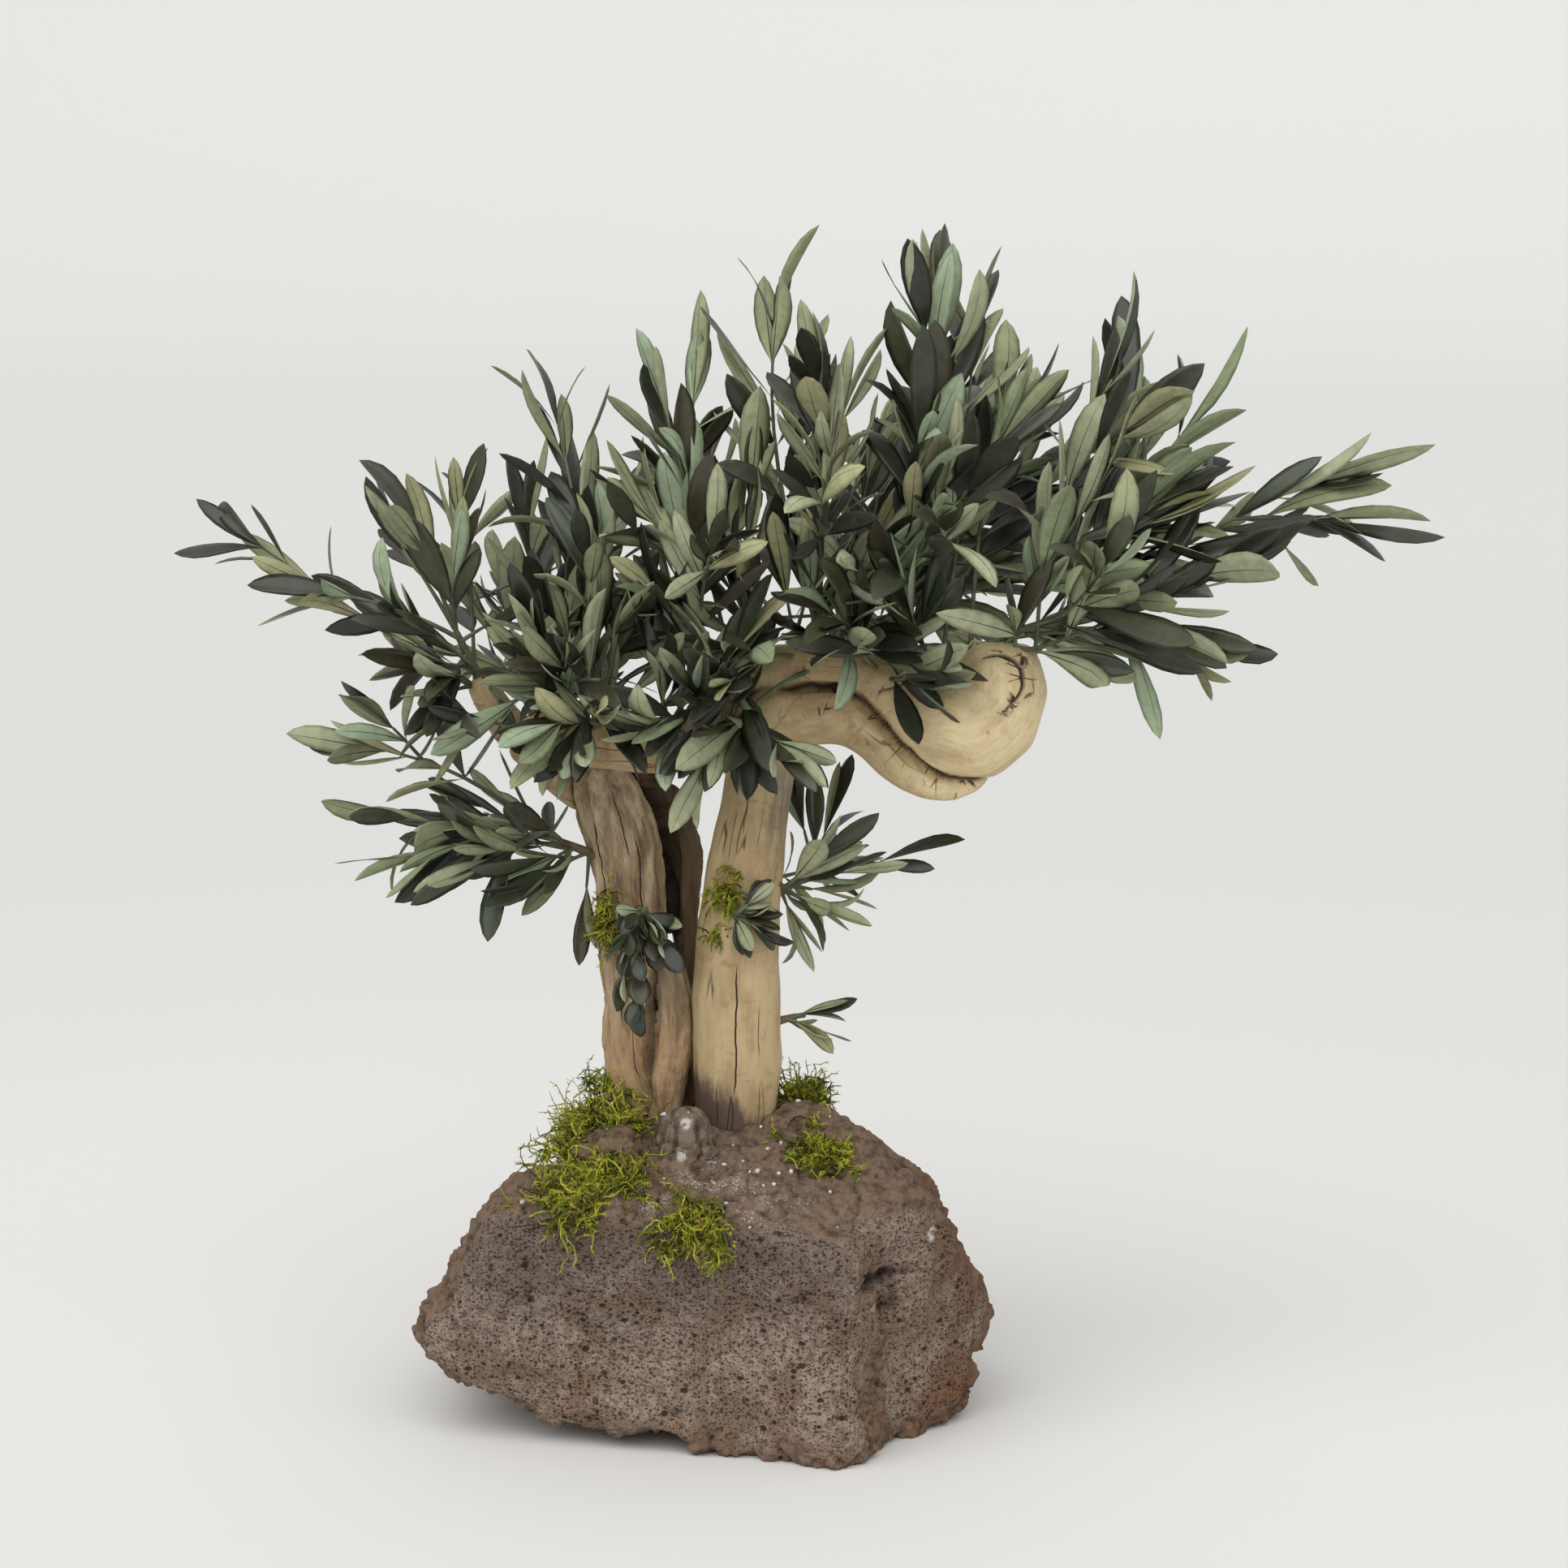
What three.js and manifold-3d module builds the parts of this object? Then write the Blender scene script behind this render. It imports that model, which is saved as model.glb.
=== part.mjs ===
// Olive bonsai on a lava rock: two driftwood trunks stand in sockets in the rock, boughs lie on
// and grow from them, and sprays of olive shoots and cushions of moss are seated on the wood and stone.
// Millimetres, +X to the right, +Y away from the viewer, +Z up. The origin is on the rock's flat underside.
import * as THREE from "three";
import { mergeVertices } from "three/addons/utils/BufferGeometryUtils.js";
import Module from "manifold-3d";

const wasm = await Module();
wasm.setup();

// Driving dimensions
const GAP = 0.3; // clearance between a piece and what carries it
const MERGE = 1e-4; // points nearer than this are one point
const FAR = 1000; // larger than the whole object

// The rock is a rounded polyhedron: each facet faces a direction at a distance from the middle.
const ROCK = {
  middle: [0, 0, 95],
  detail: 11,
  roundness: 24,
  facets: [
    { name: "top", toward: [0.03, 0.22, 1], at: 98 },
    { name: "top front", toward: [0.02, -0.52, 0.85], at: 103 },
    { name: "top left", toward: [-0.34, 0.12, 0.93], at: 86 },
    { name: "left shoulder", toward: [-0.76, 0.1, 0.65], at: 130 },
    { name: "top right", toward: [0.55, 0.14, 0.82], at: 124 },
    { name: "right shoulder", toward: [0.85, 0.08, 0.53], at: 146 },
    { name: "left end", toward: [-0.97, 0, 0.24], at: 154 },
    { name: "left foot", toward: [-0.93, -0.05, -0.36], at: 186 },
    { name: "right end", toward: [0.97, 0.1, 0.2], at: 163 },
    { name: "porous front", toward: [-0.2, -0.97, -0.06], at: 108 },
    { name: "right front", toward: [0.72, -0.69, -0.1], at: 146 },
    { name: "back", toward: [0.05, 0.99, 0.1], at: 118 },
    { name: "top back", toward: [0, 0.62, 0.78], at: 112 },
    { name: "left undercut", toward: [-0.26, -0.03, -0.96], at: 106 },
    { name: "right undercut", toward: [0.86, 0.05, -0.5], at: 178 },
    { name: "back undercut", toward: [0, 0.82, -0.57], at: 124 },
    { name: "underside", toward: [0, 0, -1], at: 108 },
  ],
  lobes: [
    { name: "left mound", toward: [-0.42, -0.04, 0.9], rise: 20, spread: 0.3 },
    { name: "left bevel", toward: [-0.77, 0.55, 0.27], rise: -13, spread: 0.3 },
    { name: "right bevel", toward: [0.8, 0.5, 0.3], rise: -16, spread: 0.26 },
    { name: "right slope", toward: [0.82, 0.12, 0.54], rise: -13, spread: 0.18 },
    { name: "left ear", toward: [-0.95, -0.28, -0.13], rise: 24, spread: 0.15 },
    { name: "step over the left ear", toward: [-0.94, -0.32, 0.12], rise: -17, spread: 0.11 },
    { name: "step behind it", toward: [-0.97, -0.06, 0.18], rise: -19, spread: 0.15 },
    { name: "left shoulder", toward: [-0.82, -0.32, 0.34], rise: 9, spread: 0.15 },
    { name: "left undercut", toward: [-0.8, -0.4, -0.5], rise: -7, spread: 0.16 },
    { name: "right ear", toward: [0.97, -0.18, -0.16], rise: 14, spread: 0.13 },
    { name: "step over the right ear", toward: [0.97, -0.1, 0.12], rise: -12, spread: 0.12 },
    { name: "step under it", toward: [0.95, -0.12, -0.3], rise: -9, spread: 0.1 },
    { name: "right recess", toward: [0.79, -0.54, -0.3], rise: -18, spread: 0.15 },
    { name: "right heel", toward: [0.88, -0.2, -0.42], rise: 7, spread: 0.14 },
    { name: "right cleft", toward: [0.76, -0.64, 0.1], rise: -15, spread: 0.12 },
    { name: "right brow", toward: [0.72, -0.6, 0.3], rise: 6, spread: 0.14 },
    { name: "front foot", toward: [0.5, -0.7, -0.52], rise: 14, spread: 0.24 },
    { name: "hollow of the front", toward: [0.05, -0.99, -0.06], rise: -8, spread: 0.36 },
    { name: "front ridge", toward: [0.25, -0.86, 0.44], rise: 8, spread: 0.2 },
    { name: "left front ridge", toward: [-0.5, -0.75, 0.4], rise: 7, spread: 0.17 },
    { name: "back lump", toward: [0.35, 0.92, 0.1], rise: 13, spread: 0.24 },
    { name: "back hollow", toward: [-0.2, 0.96, -0.2], rise: -13, spread: 0.22 },
    { name: "back left lump", toward: [-0.55, 0.8, -0.05], rise: 10, spread: 0.2 },
    { name: "back right hollow", toward: [0.8, 0.6, -0.12], rise: -11, spread: 0.17 },
    { name: "back ledge", toward: [-0.05, 0.75, 0.62], rise: 8, spread: 0.2 },
  ],
  bumps: [
    { size: 62, height: 7 },
    { size: 31, height: 4.6 },
    { size: 19, height: 3.2 },
  ],
};
const ARCH = { at: [-34, -92, -4], radii: [30, 40, 20] }; // hollow under the rock's front edge
const KNOB = { at: [-14, -54, 181], radii: [19, 15, 26], bump: { size: 16, height: 2.4 }, detail: 2 };
const LEFT_KNOB = { at: [-60, -50, 178], radii: [24, 20, 15], bump: { size: 18, height: 2.6 }, detail: 2 };

// A limb is one or more strands; a strand's stations are [x, y, z, radius] along its middle line.
const TRUNK_FOOT = { left: 188, right: 178 }; // heights of the flat cuts in the rock's sockets
const LIMBS = {
  trunk_left: {
    foot: TRUNK_FOOT.left,
    strands: [
      {
        name: "main",
        sides: 11,
        rings: 12,
        stations: [
          [-33, 0, 178, 12.5],
          [-37, 0, 206, 15],
          [-44, 3, 222, 19],
          [-46, 5, 250, 19.5],
          [-46, 6, 293, 21],
          [-48, 6, 330, 23],
          [-49, 6, 356, 25],
          [-54, 5, 379, 27],
          [-61, 2, 402, 25],
          [-66, -3, 416, 18],
        ],
      },
      {
        name: "front root",
        sides: 8,
        rings: 7,
        stations: [
          [-26, -8, 178, 11],
          [-25, -8, 206, 12],
          [-22, -8, 232, 14],
          [-20, -6, 253, 13.5],
          [-24, 0, 277, 11],
          [-32, 4, 302, 8],
        ],
      },
      {
        name: "back strand",
        sides: 8,
        rings: 8,
        stations: [
          [-19, 18, 178, 13],
          [-15, 22, 245, 11],
          [-15, 22, 289, 11],
          [-15, 21, 324, 12],
          [-16, 20, 352, 13.5],
          [-22, 16, 380, 14],
          [-38, 9, 398, 14],
        ],
      },
    ],
  },
  trunk_right: {
    foot: TRUNK_FOOT.right,
    strands: [
      {
        name: "main",
        sides: 12,
        rings: 15,
        stations: [
          [17, -14, 166, 26],
          [18, -14, 200, 24.5],
          [19, -14, 229, 26.5],
          [18, -14, 280, 25.6],
          [21, -14, 326, 24.5],
          [25, -14, 359, 22.9],
          [30, -13, 387, 20.9],
          [34, -12, 417, 21.4],
          [38, -10, 445, 24.3],
          [38, -8, 470, 20],
        ],
      },
    ],
  },
  bough_left: {
    strands: [
      {
        name: "limb",
        sides: 9,
        rings: 8,
        stations: [
          [-62, 8, 380, 15],
          [-100, 12, 410, 13.5],
          [-120, 14, 428, 12.5],
          [-132, 14, 444, 11],
          [-141, 13, 461, 9],
        ],
      },
    ],
  },
  bough_cross: {
    strands: [
      {
        name: "limb",
        sides: 10,
        rings: 11,
        stations: [
          [-116, -19, 434, 7],
          [-110, -20, 432, 12],
          [-96, -21, 430, 15],
          [-76, -22, 428, 16],
          [-54, -23, 426, 16.5],
          [-25, -23, 425, 16.5],
          [-4, -21, 430, 17],
          [22, -16, 446, 17],
        ],
      },
    ],
  },
  bough_right: {
    strands: [
      {
        name: "upper fold",
        sides: 13,
        rings: 14,
        stations: [
          [36, -9, 466, 17],
          [64, -12, 472, 14.5],
          [87, -14, 471, 14],
          [109, -17, 460, 19],
          [134, -20, 446, 28],
          [160, -23, 440, 38],
          [176, -25, 453, 34],
          [178, -24, 471, 27],
          [179, -22, 487, 20],
        ],
      },
      {
        name: "lower fold",
        sides: 9,
        rings: 13,
        stations: [
          [36, -12, 438, 22],
          [64, -13, 443, 19],
          [87, -15, 442, 18.4],
          [100, -18, 434, 16.8],
          [110, -21, 423, 15.4],
          [121, -24, 412, 14.4],
          [135, -27, 404, 12.4],
          [149, -28, 402, 11],
          [164, -26, 406, 10],
          [182, -22, 420, 6],
        ],
      },
      {
        name: "cut stub",
        sides: 7,
        rings: 2,
        stations: [
          [119, -26, 456, 8.5],
          [117, -25, 481, 7],
        ],
      },
    ],
  },
};
// Swellings of the wood: their length, and their height as a share of the radius.
const BARK = { size: 17, height: 0.07 };

// Moss cushions are low mounds: middle and radii, seated on the stone or wood they touch.
const MOSS = {
  moss_foot: { at: [-66, -16, 188], radii: [30, 24, 17] },
  moss_slope: { at: [-70, -80, 158], radii: [36, 24, 19] },
  moss_face: { at: [-4, -112, 140], radii: [25, 12, 24] },
  moss_right: { at: [62, -50, 178], radii: [28, 18, 12] },
  moss_behind: { at: [54, 16, 190], radii: [20, 18, 14] },
  moss_trunk_left: { at: [-64, -16, 316], radii: [9, 8, 20] },
  moss_trunk_right: { at: [8, -37, 324], radii: [8, 7, 18] },
};
const MOSS_BUMP = { size: 11, height: 2.2 };
const MOSS_DETAIL = 1;

// An olive leaf, larger than life because there are fewer. Its width, thickness and their places are shares
// of its length. Its upper side turns outward, upward and a little astray.
const LEAF = {
  length: 84,
  width: 0.28,
  thickness: 0.03,
  widest: 0.54,
  thickest: 0.16,
  sink: 0.6, // depth of its foot past the middle of the twig
  vary: 0.3, // play in its length and angle
  outward: 0.6,
  upward: 0.6,
  stray: 0.8,
};
const TWIG = { radius: 2.4, tip: 1.7, sides: 3, pieceLength: 70 };
const STEM = { radius: 5, tip: 4, sides: 5, rings: 2, branching: 0.45 };
const SHOOT = {
  bare: 22, // leafless length at the stem
  pairSpacing: 50,
  mostPairs: 3,
  openAngle: 0.75, // radians between a leaf and its twig
  tipAngle: 0.42, // the same for the pair at the tip
  tries: 6,
  reach: 0.97, // share of the tip leaf past the end of the twig
};
const SEED = 120;

// A mass of foliage grows from one stem, [root, top]. Its shoots end evenly over its own space, a rounded one
// with a middle and radii, and its long shoots end at the crown's furthest tips.
// bow lifts a shoot's middle, as a share of its length; leaf is the size of its leaves.
const MASSES = {
  crown_right: {
    stem: [[179, -22, 478], [205, -20, 530]],
    space: { middle: [252, -12, 572], radii: [78, 92, 92] },
    long: [
      [448, 15, 609], [340, 45, 674], [270, 10, 700], [292, -100, 549],
      [362, -55, 556], [308, -35, 487], [254, -60, 465],
    ],
    shoots: 6, bow: 0.06, leaf: 1.02,
  },
  crown_stub: {
    stem: [[117, -25, 474], [124, -24, 535]],
    space: { middle: [151, -45, 585], radii: [60, 90, 98] },
    long: [[140, 0, 750], [163, 15, 722], [193, 40, 675], [171, -85, 446]],
    shoots: 6, bow: 0.05, leaf: 0.98,
  },
  crown_top: {
    stem: [[66, -10, 474], [70, -8, 530]],
    space: { middle: [76, -35, 584], radii: [52, 98, 92] },
    long: [[57, 25, 706], [108, -25, 684]],
    shoots: 7, bow: 0.05, leaf: 0.98,
  },
  crown_centre: {
    stem: [[-8, -18, 438], [-4, -10, 505]],
    space: { middle: [-4, -30, 574], radii: [60, 95, 96] },
    long: [[-45, 0, 690], [0, 40, 680]],
    shoots: 6, bow: 0.08, leaf: 1.0,
  },
  crown_mid: {
    stem: [[-73, -20, 434], [-76, -24, 485]],
    space: { middle: [-79, -50, 522], radii: [52, 76, 76] },
    long: [[-109, 25, 676], [-105, -88, 418]],
    shoots: 5, bow: 0.06, leaf: 0.92,
  },
  crown_left: {
    stem: [[-138, 13, 456], [-156, 8, 495]],
    space: { middle: [-160, -15, 515], radii: [70, 84, 66] },
    long: [
      [-311, 0, 550], [-276, -20, 521], [-215, 45, 573], [-196, -20, 590],
      [-149, 25, 612], [-213, -20, 460], [-170, -60, 448],
    ],
    shoots: 5, bow: 0.06, leaf: 0.95,
  },
  crown_front: {
    stem: [[28, -24, 464], [14, -74, 478]],
    space: { middle: [1, -95, 461], radii: [53, 40, 53] },
    long: [[29, -80, 387], [-9, -70, 380], [-34, -88, 396]],
    shoots: 4, bow: 0.15, leaf: 0.92,
  },
  crown_back_right: {
    stem: [[69, -2, 470], [92, 62, 510]],
    space: { middle: [163, 118, 562], radii: [110, 72, 96] },
    long: [[280, 140, 612]],
    shoots: 7, bow: 0.08, leaf: 1.08,
  },
  crown_back_left: {
    stem: [[-108, 14, 418], [-108, 70, 470]],
    space: { middle: [-90, 118, 530], radii: [110, 72, 86] },
    long: [[-223, 130, 497]],
    shoots: 7, bow: 0.08, leaf: 1.08,
  },
  spray_left: {
    stem: [[-64, 2, 350], [-100, -6, 366]],
    space: { middle: [-132, -10, 364], radii: [56, 50, 40] },
    long: [
      [-259, -5, 419], [-239, -30, 390], [-186, 35, 403], [-185, -40, 367], [-134, -20, 308], [-87, -15, 279],
    ],
    shoots: 2, bow: 0.06, leaf: 0.9,
  },
  spray_right: {
    stem: [[38, -4, 326], [70, 12, 342]],
    space: { middle: [87, 14, 360], radii: [40, 46, 45] },
    long: [[163, 5, 351], [133, -10, 338], [106, 40, 398], [64, 60, 402], [99, -15, 311], [68, -25, 295]],
    shoots: 1, bow: 0.1, leaf: 0.82,
  },
  sprout_foot: {
    stem: [[36, -12, 248], [58, -4, 252]],
    space: { middle: [66, -4, 246], radii: [14, 22, 16] },
    long: [[91, -5, 254], [75, -20, 238]],
    shoots: 2, bow: 0.1, leaf: 0.5,
  },
  sprout_trunk: {
    stem: [[-42, -10, 320], [-38, -46, 326]],
    space: { middle: [-37, -48, 310], radii: [26, 12, 32] },
    long: [[-56, -50, 264], [-42, -52, 246], [-22, -48, 292]],
    shoots: 3, bow: 0.1, leaf: 0.45,
  },
};

// Finishes
const finish = (color, roughness) =>
  new THREE.MeshStandardMaterial({ color, roughness, metalness: 0, flatShading: true });
const FINISHES = {
  lava: finish(0x71614f, 0.95),
  rough_wood: finish(0x7a654b, 0.9),
  pale_wood: finish(0xc0a983, 0.65),
  olive_leaf: finish(0x59604d, 0.6),
  moss: finish(0x5b601c, 0.95),
};

// Seeded random numbers from 0 to 1.
function randomFrom(seed) {
  let state = seed >>> 0;
  return () => {
    state = (state + 0x6d2b79f5) >>> 0;
    let mixed = Math.imul(state ^ (state >>> 15), state | 1);
    mixed ^= mixed + Math.imul(mixed ^ (mixed >>> 7), mixed | 61);
    return ((mixed ^ (mixed >>> 14)) >>> 0) / 4294967296;
  };
}

// A repeatable number from -1 to 1 at a grid point.
function gridValue(i, j, k) {
  let mixed = Math.imul(i, 73856093) ^ Math.imul(j, 19349663) ^ Math.imul(k, 83492791);
  mixed = Math.imul(mixed ^ (mixed >>> 13), 1274126177);
  return ((mixed ^ (mixed >>> 16)) >>> 0) / 2147483648 - 1;
}

// Smooth bumps from -1 to 1, of the given size, at a point in space.
function bumpAt(point, size) {
  const cell = point.clone().divideScalar(size);
  const low = cell.clone().floor();
  const share = cell.sub(low);
  const smooth = (t) => t * t * (3 - 2 * t);
  const [u, v, w] = share.toArray().map(smooth);
  let sum = 0;
  for (let corner = 0; corner < 8; corner += 1) {
    const [i, j, k] = [corner & 1, (corner >> 1) & 1, corner >> 2];
    const weight = (i ? u : 1 - u) * (j ? v : 1 - v) * (k ? w : 1 - w);
    sum += weight * gridValue(low.x + i, low.y + j, low.z + k);
  }
  return sum;
}

// A closed three.js geometry as a solid, and a solid as a geometry.
function solidOf(geometry) {
  const bare = geometry.clone();
  bare.deleteAttribute("normal");
  bare.deleteAttribute("uv");
  const merged = mergeVertices(bare, MERGE);
  const mesh = new wasm.Mesh({
    numProp: 3,
    vertProperties: merged.attributes.position.array,
    triVerts: new Uint32Array(merged.index.array),
  });
  return new wasm.Manifold(mesh);
}

function geometryOf(solid) {
  const { vertProperties, triVerts } = solid.getMesh();
  const geometry = new THREE.BufferGeometry();
  geometry.setAttribute("position", new THREE.BufferAttribute(vertProperties, 3));
  geometry.setIndex(new THREE.BufferAttribute(triVerts, 1));
  geometry.computeVertexNormals();
  return geometry;
}

// The largest body of a solid: loose scraps and sealed hollows are left behind.
function largestBody(solid) {
  const bodies = solid.decompose();
  return bodies.reduce((best, body) => (body.volume() > best.volume() ? body : best));
}

// Moves every point of a geometry by a function of that point.
function reshape(geometry, move) {
  const position = geometry.attributes.position;
  const point = new THREE.Vector3();
  for (let i = 0; i < position.count; i += 1) {
    move(point.fromBufferAttribute(position, i));
    position.setXYZ(i, point.x, point.y, point.z);
  }
  return geometry;
}

// Everything below a level, as a solid to cut with.
function below(level) {
  const block = new THREE.BoxGeometry(2 * FAR, 2 * FAR, FAR);
  return solidOf(block.translate(0, 0, level - FAR / 2));
}

// How far the rock's surface lies from its middle in one direction.
function rockReach(direction) {
  let sum = 0;
  for (const facet of ROCK.facets) {
    const facing = direction.dot(new THREE.Vector3(...facet.toward).normalize());
    if (facing > 0) sum += (facing / facet.at) ** ROCK.roundness;
  }
  let reach = sum ** (-1 / ROCK.roundness);
  for (const lobe of ROCK.lobes) {
    const away = direction.angleTo(new THREE.Vector3(...lobe.toward)) / lobe.spread;
    reach += lobe.rise * Math.exp(-away * away);
  }
  const place = direction.clone().multiplyScalar(reach);
  for (const bump of ROCK.bumps) reach += bump.height * bumpAt(place, bump.size);
  return reach;
}

function rockSolid(grow) {
  const middle = new THREE.Vector3(...ROCK.middle);
  const ball = new THREE.IcosahedronGeometry(1, ROCK.detail);
  reshape(ball, (point) => {
    point.normalize();
    point.multiplyScalar(rockReach(point) + grow).add(middle);
  });
  return solidOf(ball);
}

// A lumpy mound with its middle and three radii.
function moundSolid({ at, radii, bump, detail }) {
  const ball = new THREE.IcosahedronGeometry(1, detail);
  reshape(ball, (point) => {
    const outward = point.clone().normalize();
    point.copy(outward).multiply(new THREE.Vector3(...radii));
    point.add(new THREE.Vector3(...at));
    point.addScaledVector(outward, bump.height * bumpAt(point, bump.size));
  });
  return solidOf(ball);
}

// A round bar bent along a curve: each ring of a unit cylinder is carried to its place and radius.
function bentBar(curve, radiusAt, sides, rings, grow = 0) {
  const frames = curve.computeFrenetFrames(rings, false);
  const bar = new THREE.CylinderGeometry(1, 1, 1, sides, rings);
  return reshape(bar, (point) => {
    const ring = Math.round((point.y + 0.5) * rings);
    const share = ring / rings;
    const across = new THREE.Vector2(point.x, point.z);
    const place = curve.getPointAt(share);
    if (ring === 0) place.addScaledVector(frames.tangents[ring], -grow);
    if (ring === rings) place.addScaledVector(frames.tangents[ring], grow);
    const outward = new THREE.Vector3()
      .addScaledVector(frames.normals[ring], across.x)
      .addScaledVector(frames.binormals[ring], -across.y);
    const radius = radiusAt(share, place.clone().add(outward));
    point.copy(place).addScaledVector(outward, radius + grow);
  });
}

// One strand of wood, grown by a clearance where it is used to cut its neighbours.
function strandSolid({ stations, sides, rings }, grow) {
  const curve = new THREE.CatmullRomCurve3(stations.map(([x, y, z]) => new THREE.Vector3(x, y, z)));
  const radii = new THREE.SplineCurve(stations.map((station, i) => new THREE.Vector2(i, station[3])));
  const radiusAt = (share, place) => {
    const radius = radii.getPoint(curve.getUtoTmapping(share)).y;
    return radius * (1 + BARK.height * bumpAt(place, BARK.size));
  };
  return solidOf(bentBar(curve, radiusAt, sides, rings, grow));
}

function limbSolid({ strands, foot }, grow = 0) {
  const solid = wasm.Manifold.union(strands.map((strand) => strandSolid(strand, grow)));
  return foot === undefined ? solid : solid.subtract(below(foot - grow));
}

// The wood: each limb is cut clear of the limbs made before it.
const grownLimbs = {};
const limbs = {};
for (const [name, limb] of Object.entries(LIMBS)) {
  let solid = limbSolid(limb);
  for (const earlier of Object.values(grownLimbs)) solid = solid.subtract(earlier);
  limbs[name] = largestBody(solid);
  grownLimbs[name] = limbSolid(limb, GAP);
}
const grownWood = wasm.Manifold.union(Object.values(grownLimbs));

// The stone: the rock with its sockets, flat underside and arch, and two lumps lying on it.
const arch = moundSolid({ ...ARCH, bump: { size: FAR, height: 0 }, detail: 2 });
const stones = { rock: largestBody(rockSolid(0).subtract(below(0)).subtract(arch).subtract(grownWood)) };
let grownStone = rockSolid(GAP);
for (const [name, lump] of Object.entries({ rock_knob: KNOB, rock_left_knob: LEFT_KNOB })) {
  stones[name] = largestBody(moundSolid(lump).subtract(grownStone).subtract(grownWood));
  const grownRadii = lump.radii.map((radius) => radius + GAP);
  grownStone = grownStone.add(moundSolid({ ...lump, radii: grownRadii }));
}

const cushions = {};
for (const [name, mound] of Object.entries(MOSS)) {
  const whole = moundSolid({ ...mound, bump: MOSS_BUMP, detail: MOSS_DETAIL });
  cushions[name] = largestBody(whole.subtract(grownStone).subtract(grownWood));
}

// Every piece made so far, so that a new twig or leaf can be kept clear of it.
const placed = [];

function place(solid, mass) {
  const piece = { solid, mass, box: solid.boundingBox() };
  placed.push(piece);
  return piece;
}

function boxesMeet(a, b) {
  return [0, 1, 2].every((axis) => a.min[axis] < b.max[axis] + GAP && b.min[axis] < a.max[axis] + GAP);
}

// True when a solid stands clear of every placed piece but those it may join.
function isClear(solid, mayJoin) {
  const box = solid.boundingBox();
  return placed.every((piece) => {
    if (mayJoin(piece) || !boxesMeet(box, piece.box)) return true;
    return solid.minGap(piece.solid, GAP) >= GAP;
  });
}

for (const solids of [limbs, stones, cushions]) {
  for (const [name, solid] of Object.entries(solids)) place(solid, name);
}

// A leaf is a flat eight-faced blade from its foot along a direction, its upper side facing a second one.
function leafSolid(foot, direction, facing, length) {
  const across = new THREE.Vector3().crossVectors(direction, facing).normalize();
  const upper = new THREE.Vector3().crossVectors(across, direction).normalize();
  const blade = new THREE.OctahedronGeometry(1, 0);
  reshape(blade, (point) => {
    const sideways = (point.x * LEAF.width * length) / 2;
    const height = (point.z * LEAF.thickness * length) / 2;
    let along = ((point.y + 1) / 2) * length;
    if (sideways !== 0) along = LEAF.widest * length;
    if (height !== 0) along = LEAF.thickest * length;
    point.copy(foot).addScaledVector(direction, along - LEAF.sink);
    point.addScaledVector(across, sideways).addScaledVector(upper, height);
  });
  return solidOf(blade);
}

// A vector square to a direction, turned round it by an angle.
function sideOf(direction, angle) {
  const level = new THREE.Vector3(0, 0, 1).cross(direction);
  if (level.lengthSq() < MERGE) level.set(1, 0, 0);
  return level.normalize().applyAxisAngle(direction, angle);
}

// A shoot's middle line from a point on the stem to its tip, lifted in the middle.
function shootCurve(from, tip, bow) {
  const middle = from.clone().lerp(tip, 0.5);
  middle.z += bow * from.distanceTo(tip);
  return new THREE.QuadraticBezierCurve3(from, middle, tip);
}

// Tips spread evenly over a mass's space, after those of its long shoots.
function shootTips({ space, long, shoots }, random) {
  const tips = long.map((tip) => new THREE.Vector3(...tip));
  const golden = Math.PI * (3 - Math.sqrt(5));
  const firstTurn = random() * 2 * Math.PI;
  for (let i = 0; i < shoots; i += 1) {
    const height = 1 - (2 * i + 1) / shoots;
    const wide = Math.sqrt(1 - height * height);
    const turn = firstTurn + golden * i;
    const tip = new THREE.Vector3(wide * Math.cos(turn), wide * Math.sin(turn), height);
    tips.push(tip.multiply(new THREE.Vector3(...space.radii)).add(new THREE.Vector3(...space.middle)));
  }
  return tips;
}

// The stem of a mass and the bare twigs of its shoots; a twig that would touch another piece is left out.
function growTwigs(name, mass, random) {
  const [root, top] = mass.stem.map((point) => new THREE.Vector3(...point));
  const stemRadius = (t) => STEM.radius + (STEM.tip - STEM.radius) * t;
  const whole = solidOf(bentBar(new THREE.LineCurve3(root, top), stemRadius, STEM.sides, STEM.rings));
  place(largestBody(whole.subtract(grownWood)), name);
  const leafLength = LEAF.length * mass.leaf;
  const twigRadius = (t) => TWIG.radius + (TWIG.tip - TWIG.radius) * t;
  const shoots = [];
  shootTips(mass, random).forEach((tip) => {
    const height = (tip.z - mass.space.middle[2]) / mass.space.radii[2];
    const from = top.clone().lerp(root, STEM.branching * THREE.MathUtils.clamp((1.1 - height) / 2, 0, 1));
    const curve = shootCurve(from, tip, mass.bow);
    const share = Math.max(0.2, 1 - (SHOOT.reach * leafLength) / curve.getLength());
    const end = curve.getUtoTmapping(share);
    const bend = from.clone().lerp(curve.v1, end);
    const twigCurve = new THREE.QuadraticBezierCurve3(from, bend, curve.getPoint(end));
    const rings = Math.max(2, Math.round(twigCurve.getLength() / TWIG.pieceLength));
    const twig = solidOf(bentBar(twigCurve, twigRadius, TWIG.sides, rings));
    if (!isClear(twig, (piece) => piece.mass === name)) return;
    const turn = random() * Math.PI;
    shoots.push({ curve: twigCurve, leafLength, name, random, turn, twig: place(twig, name) });
  });
  return shoots;
}

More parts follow.
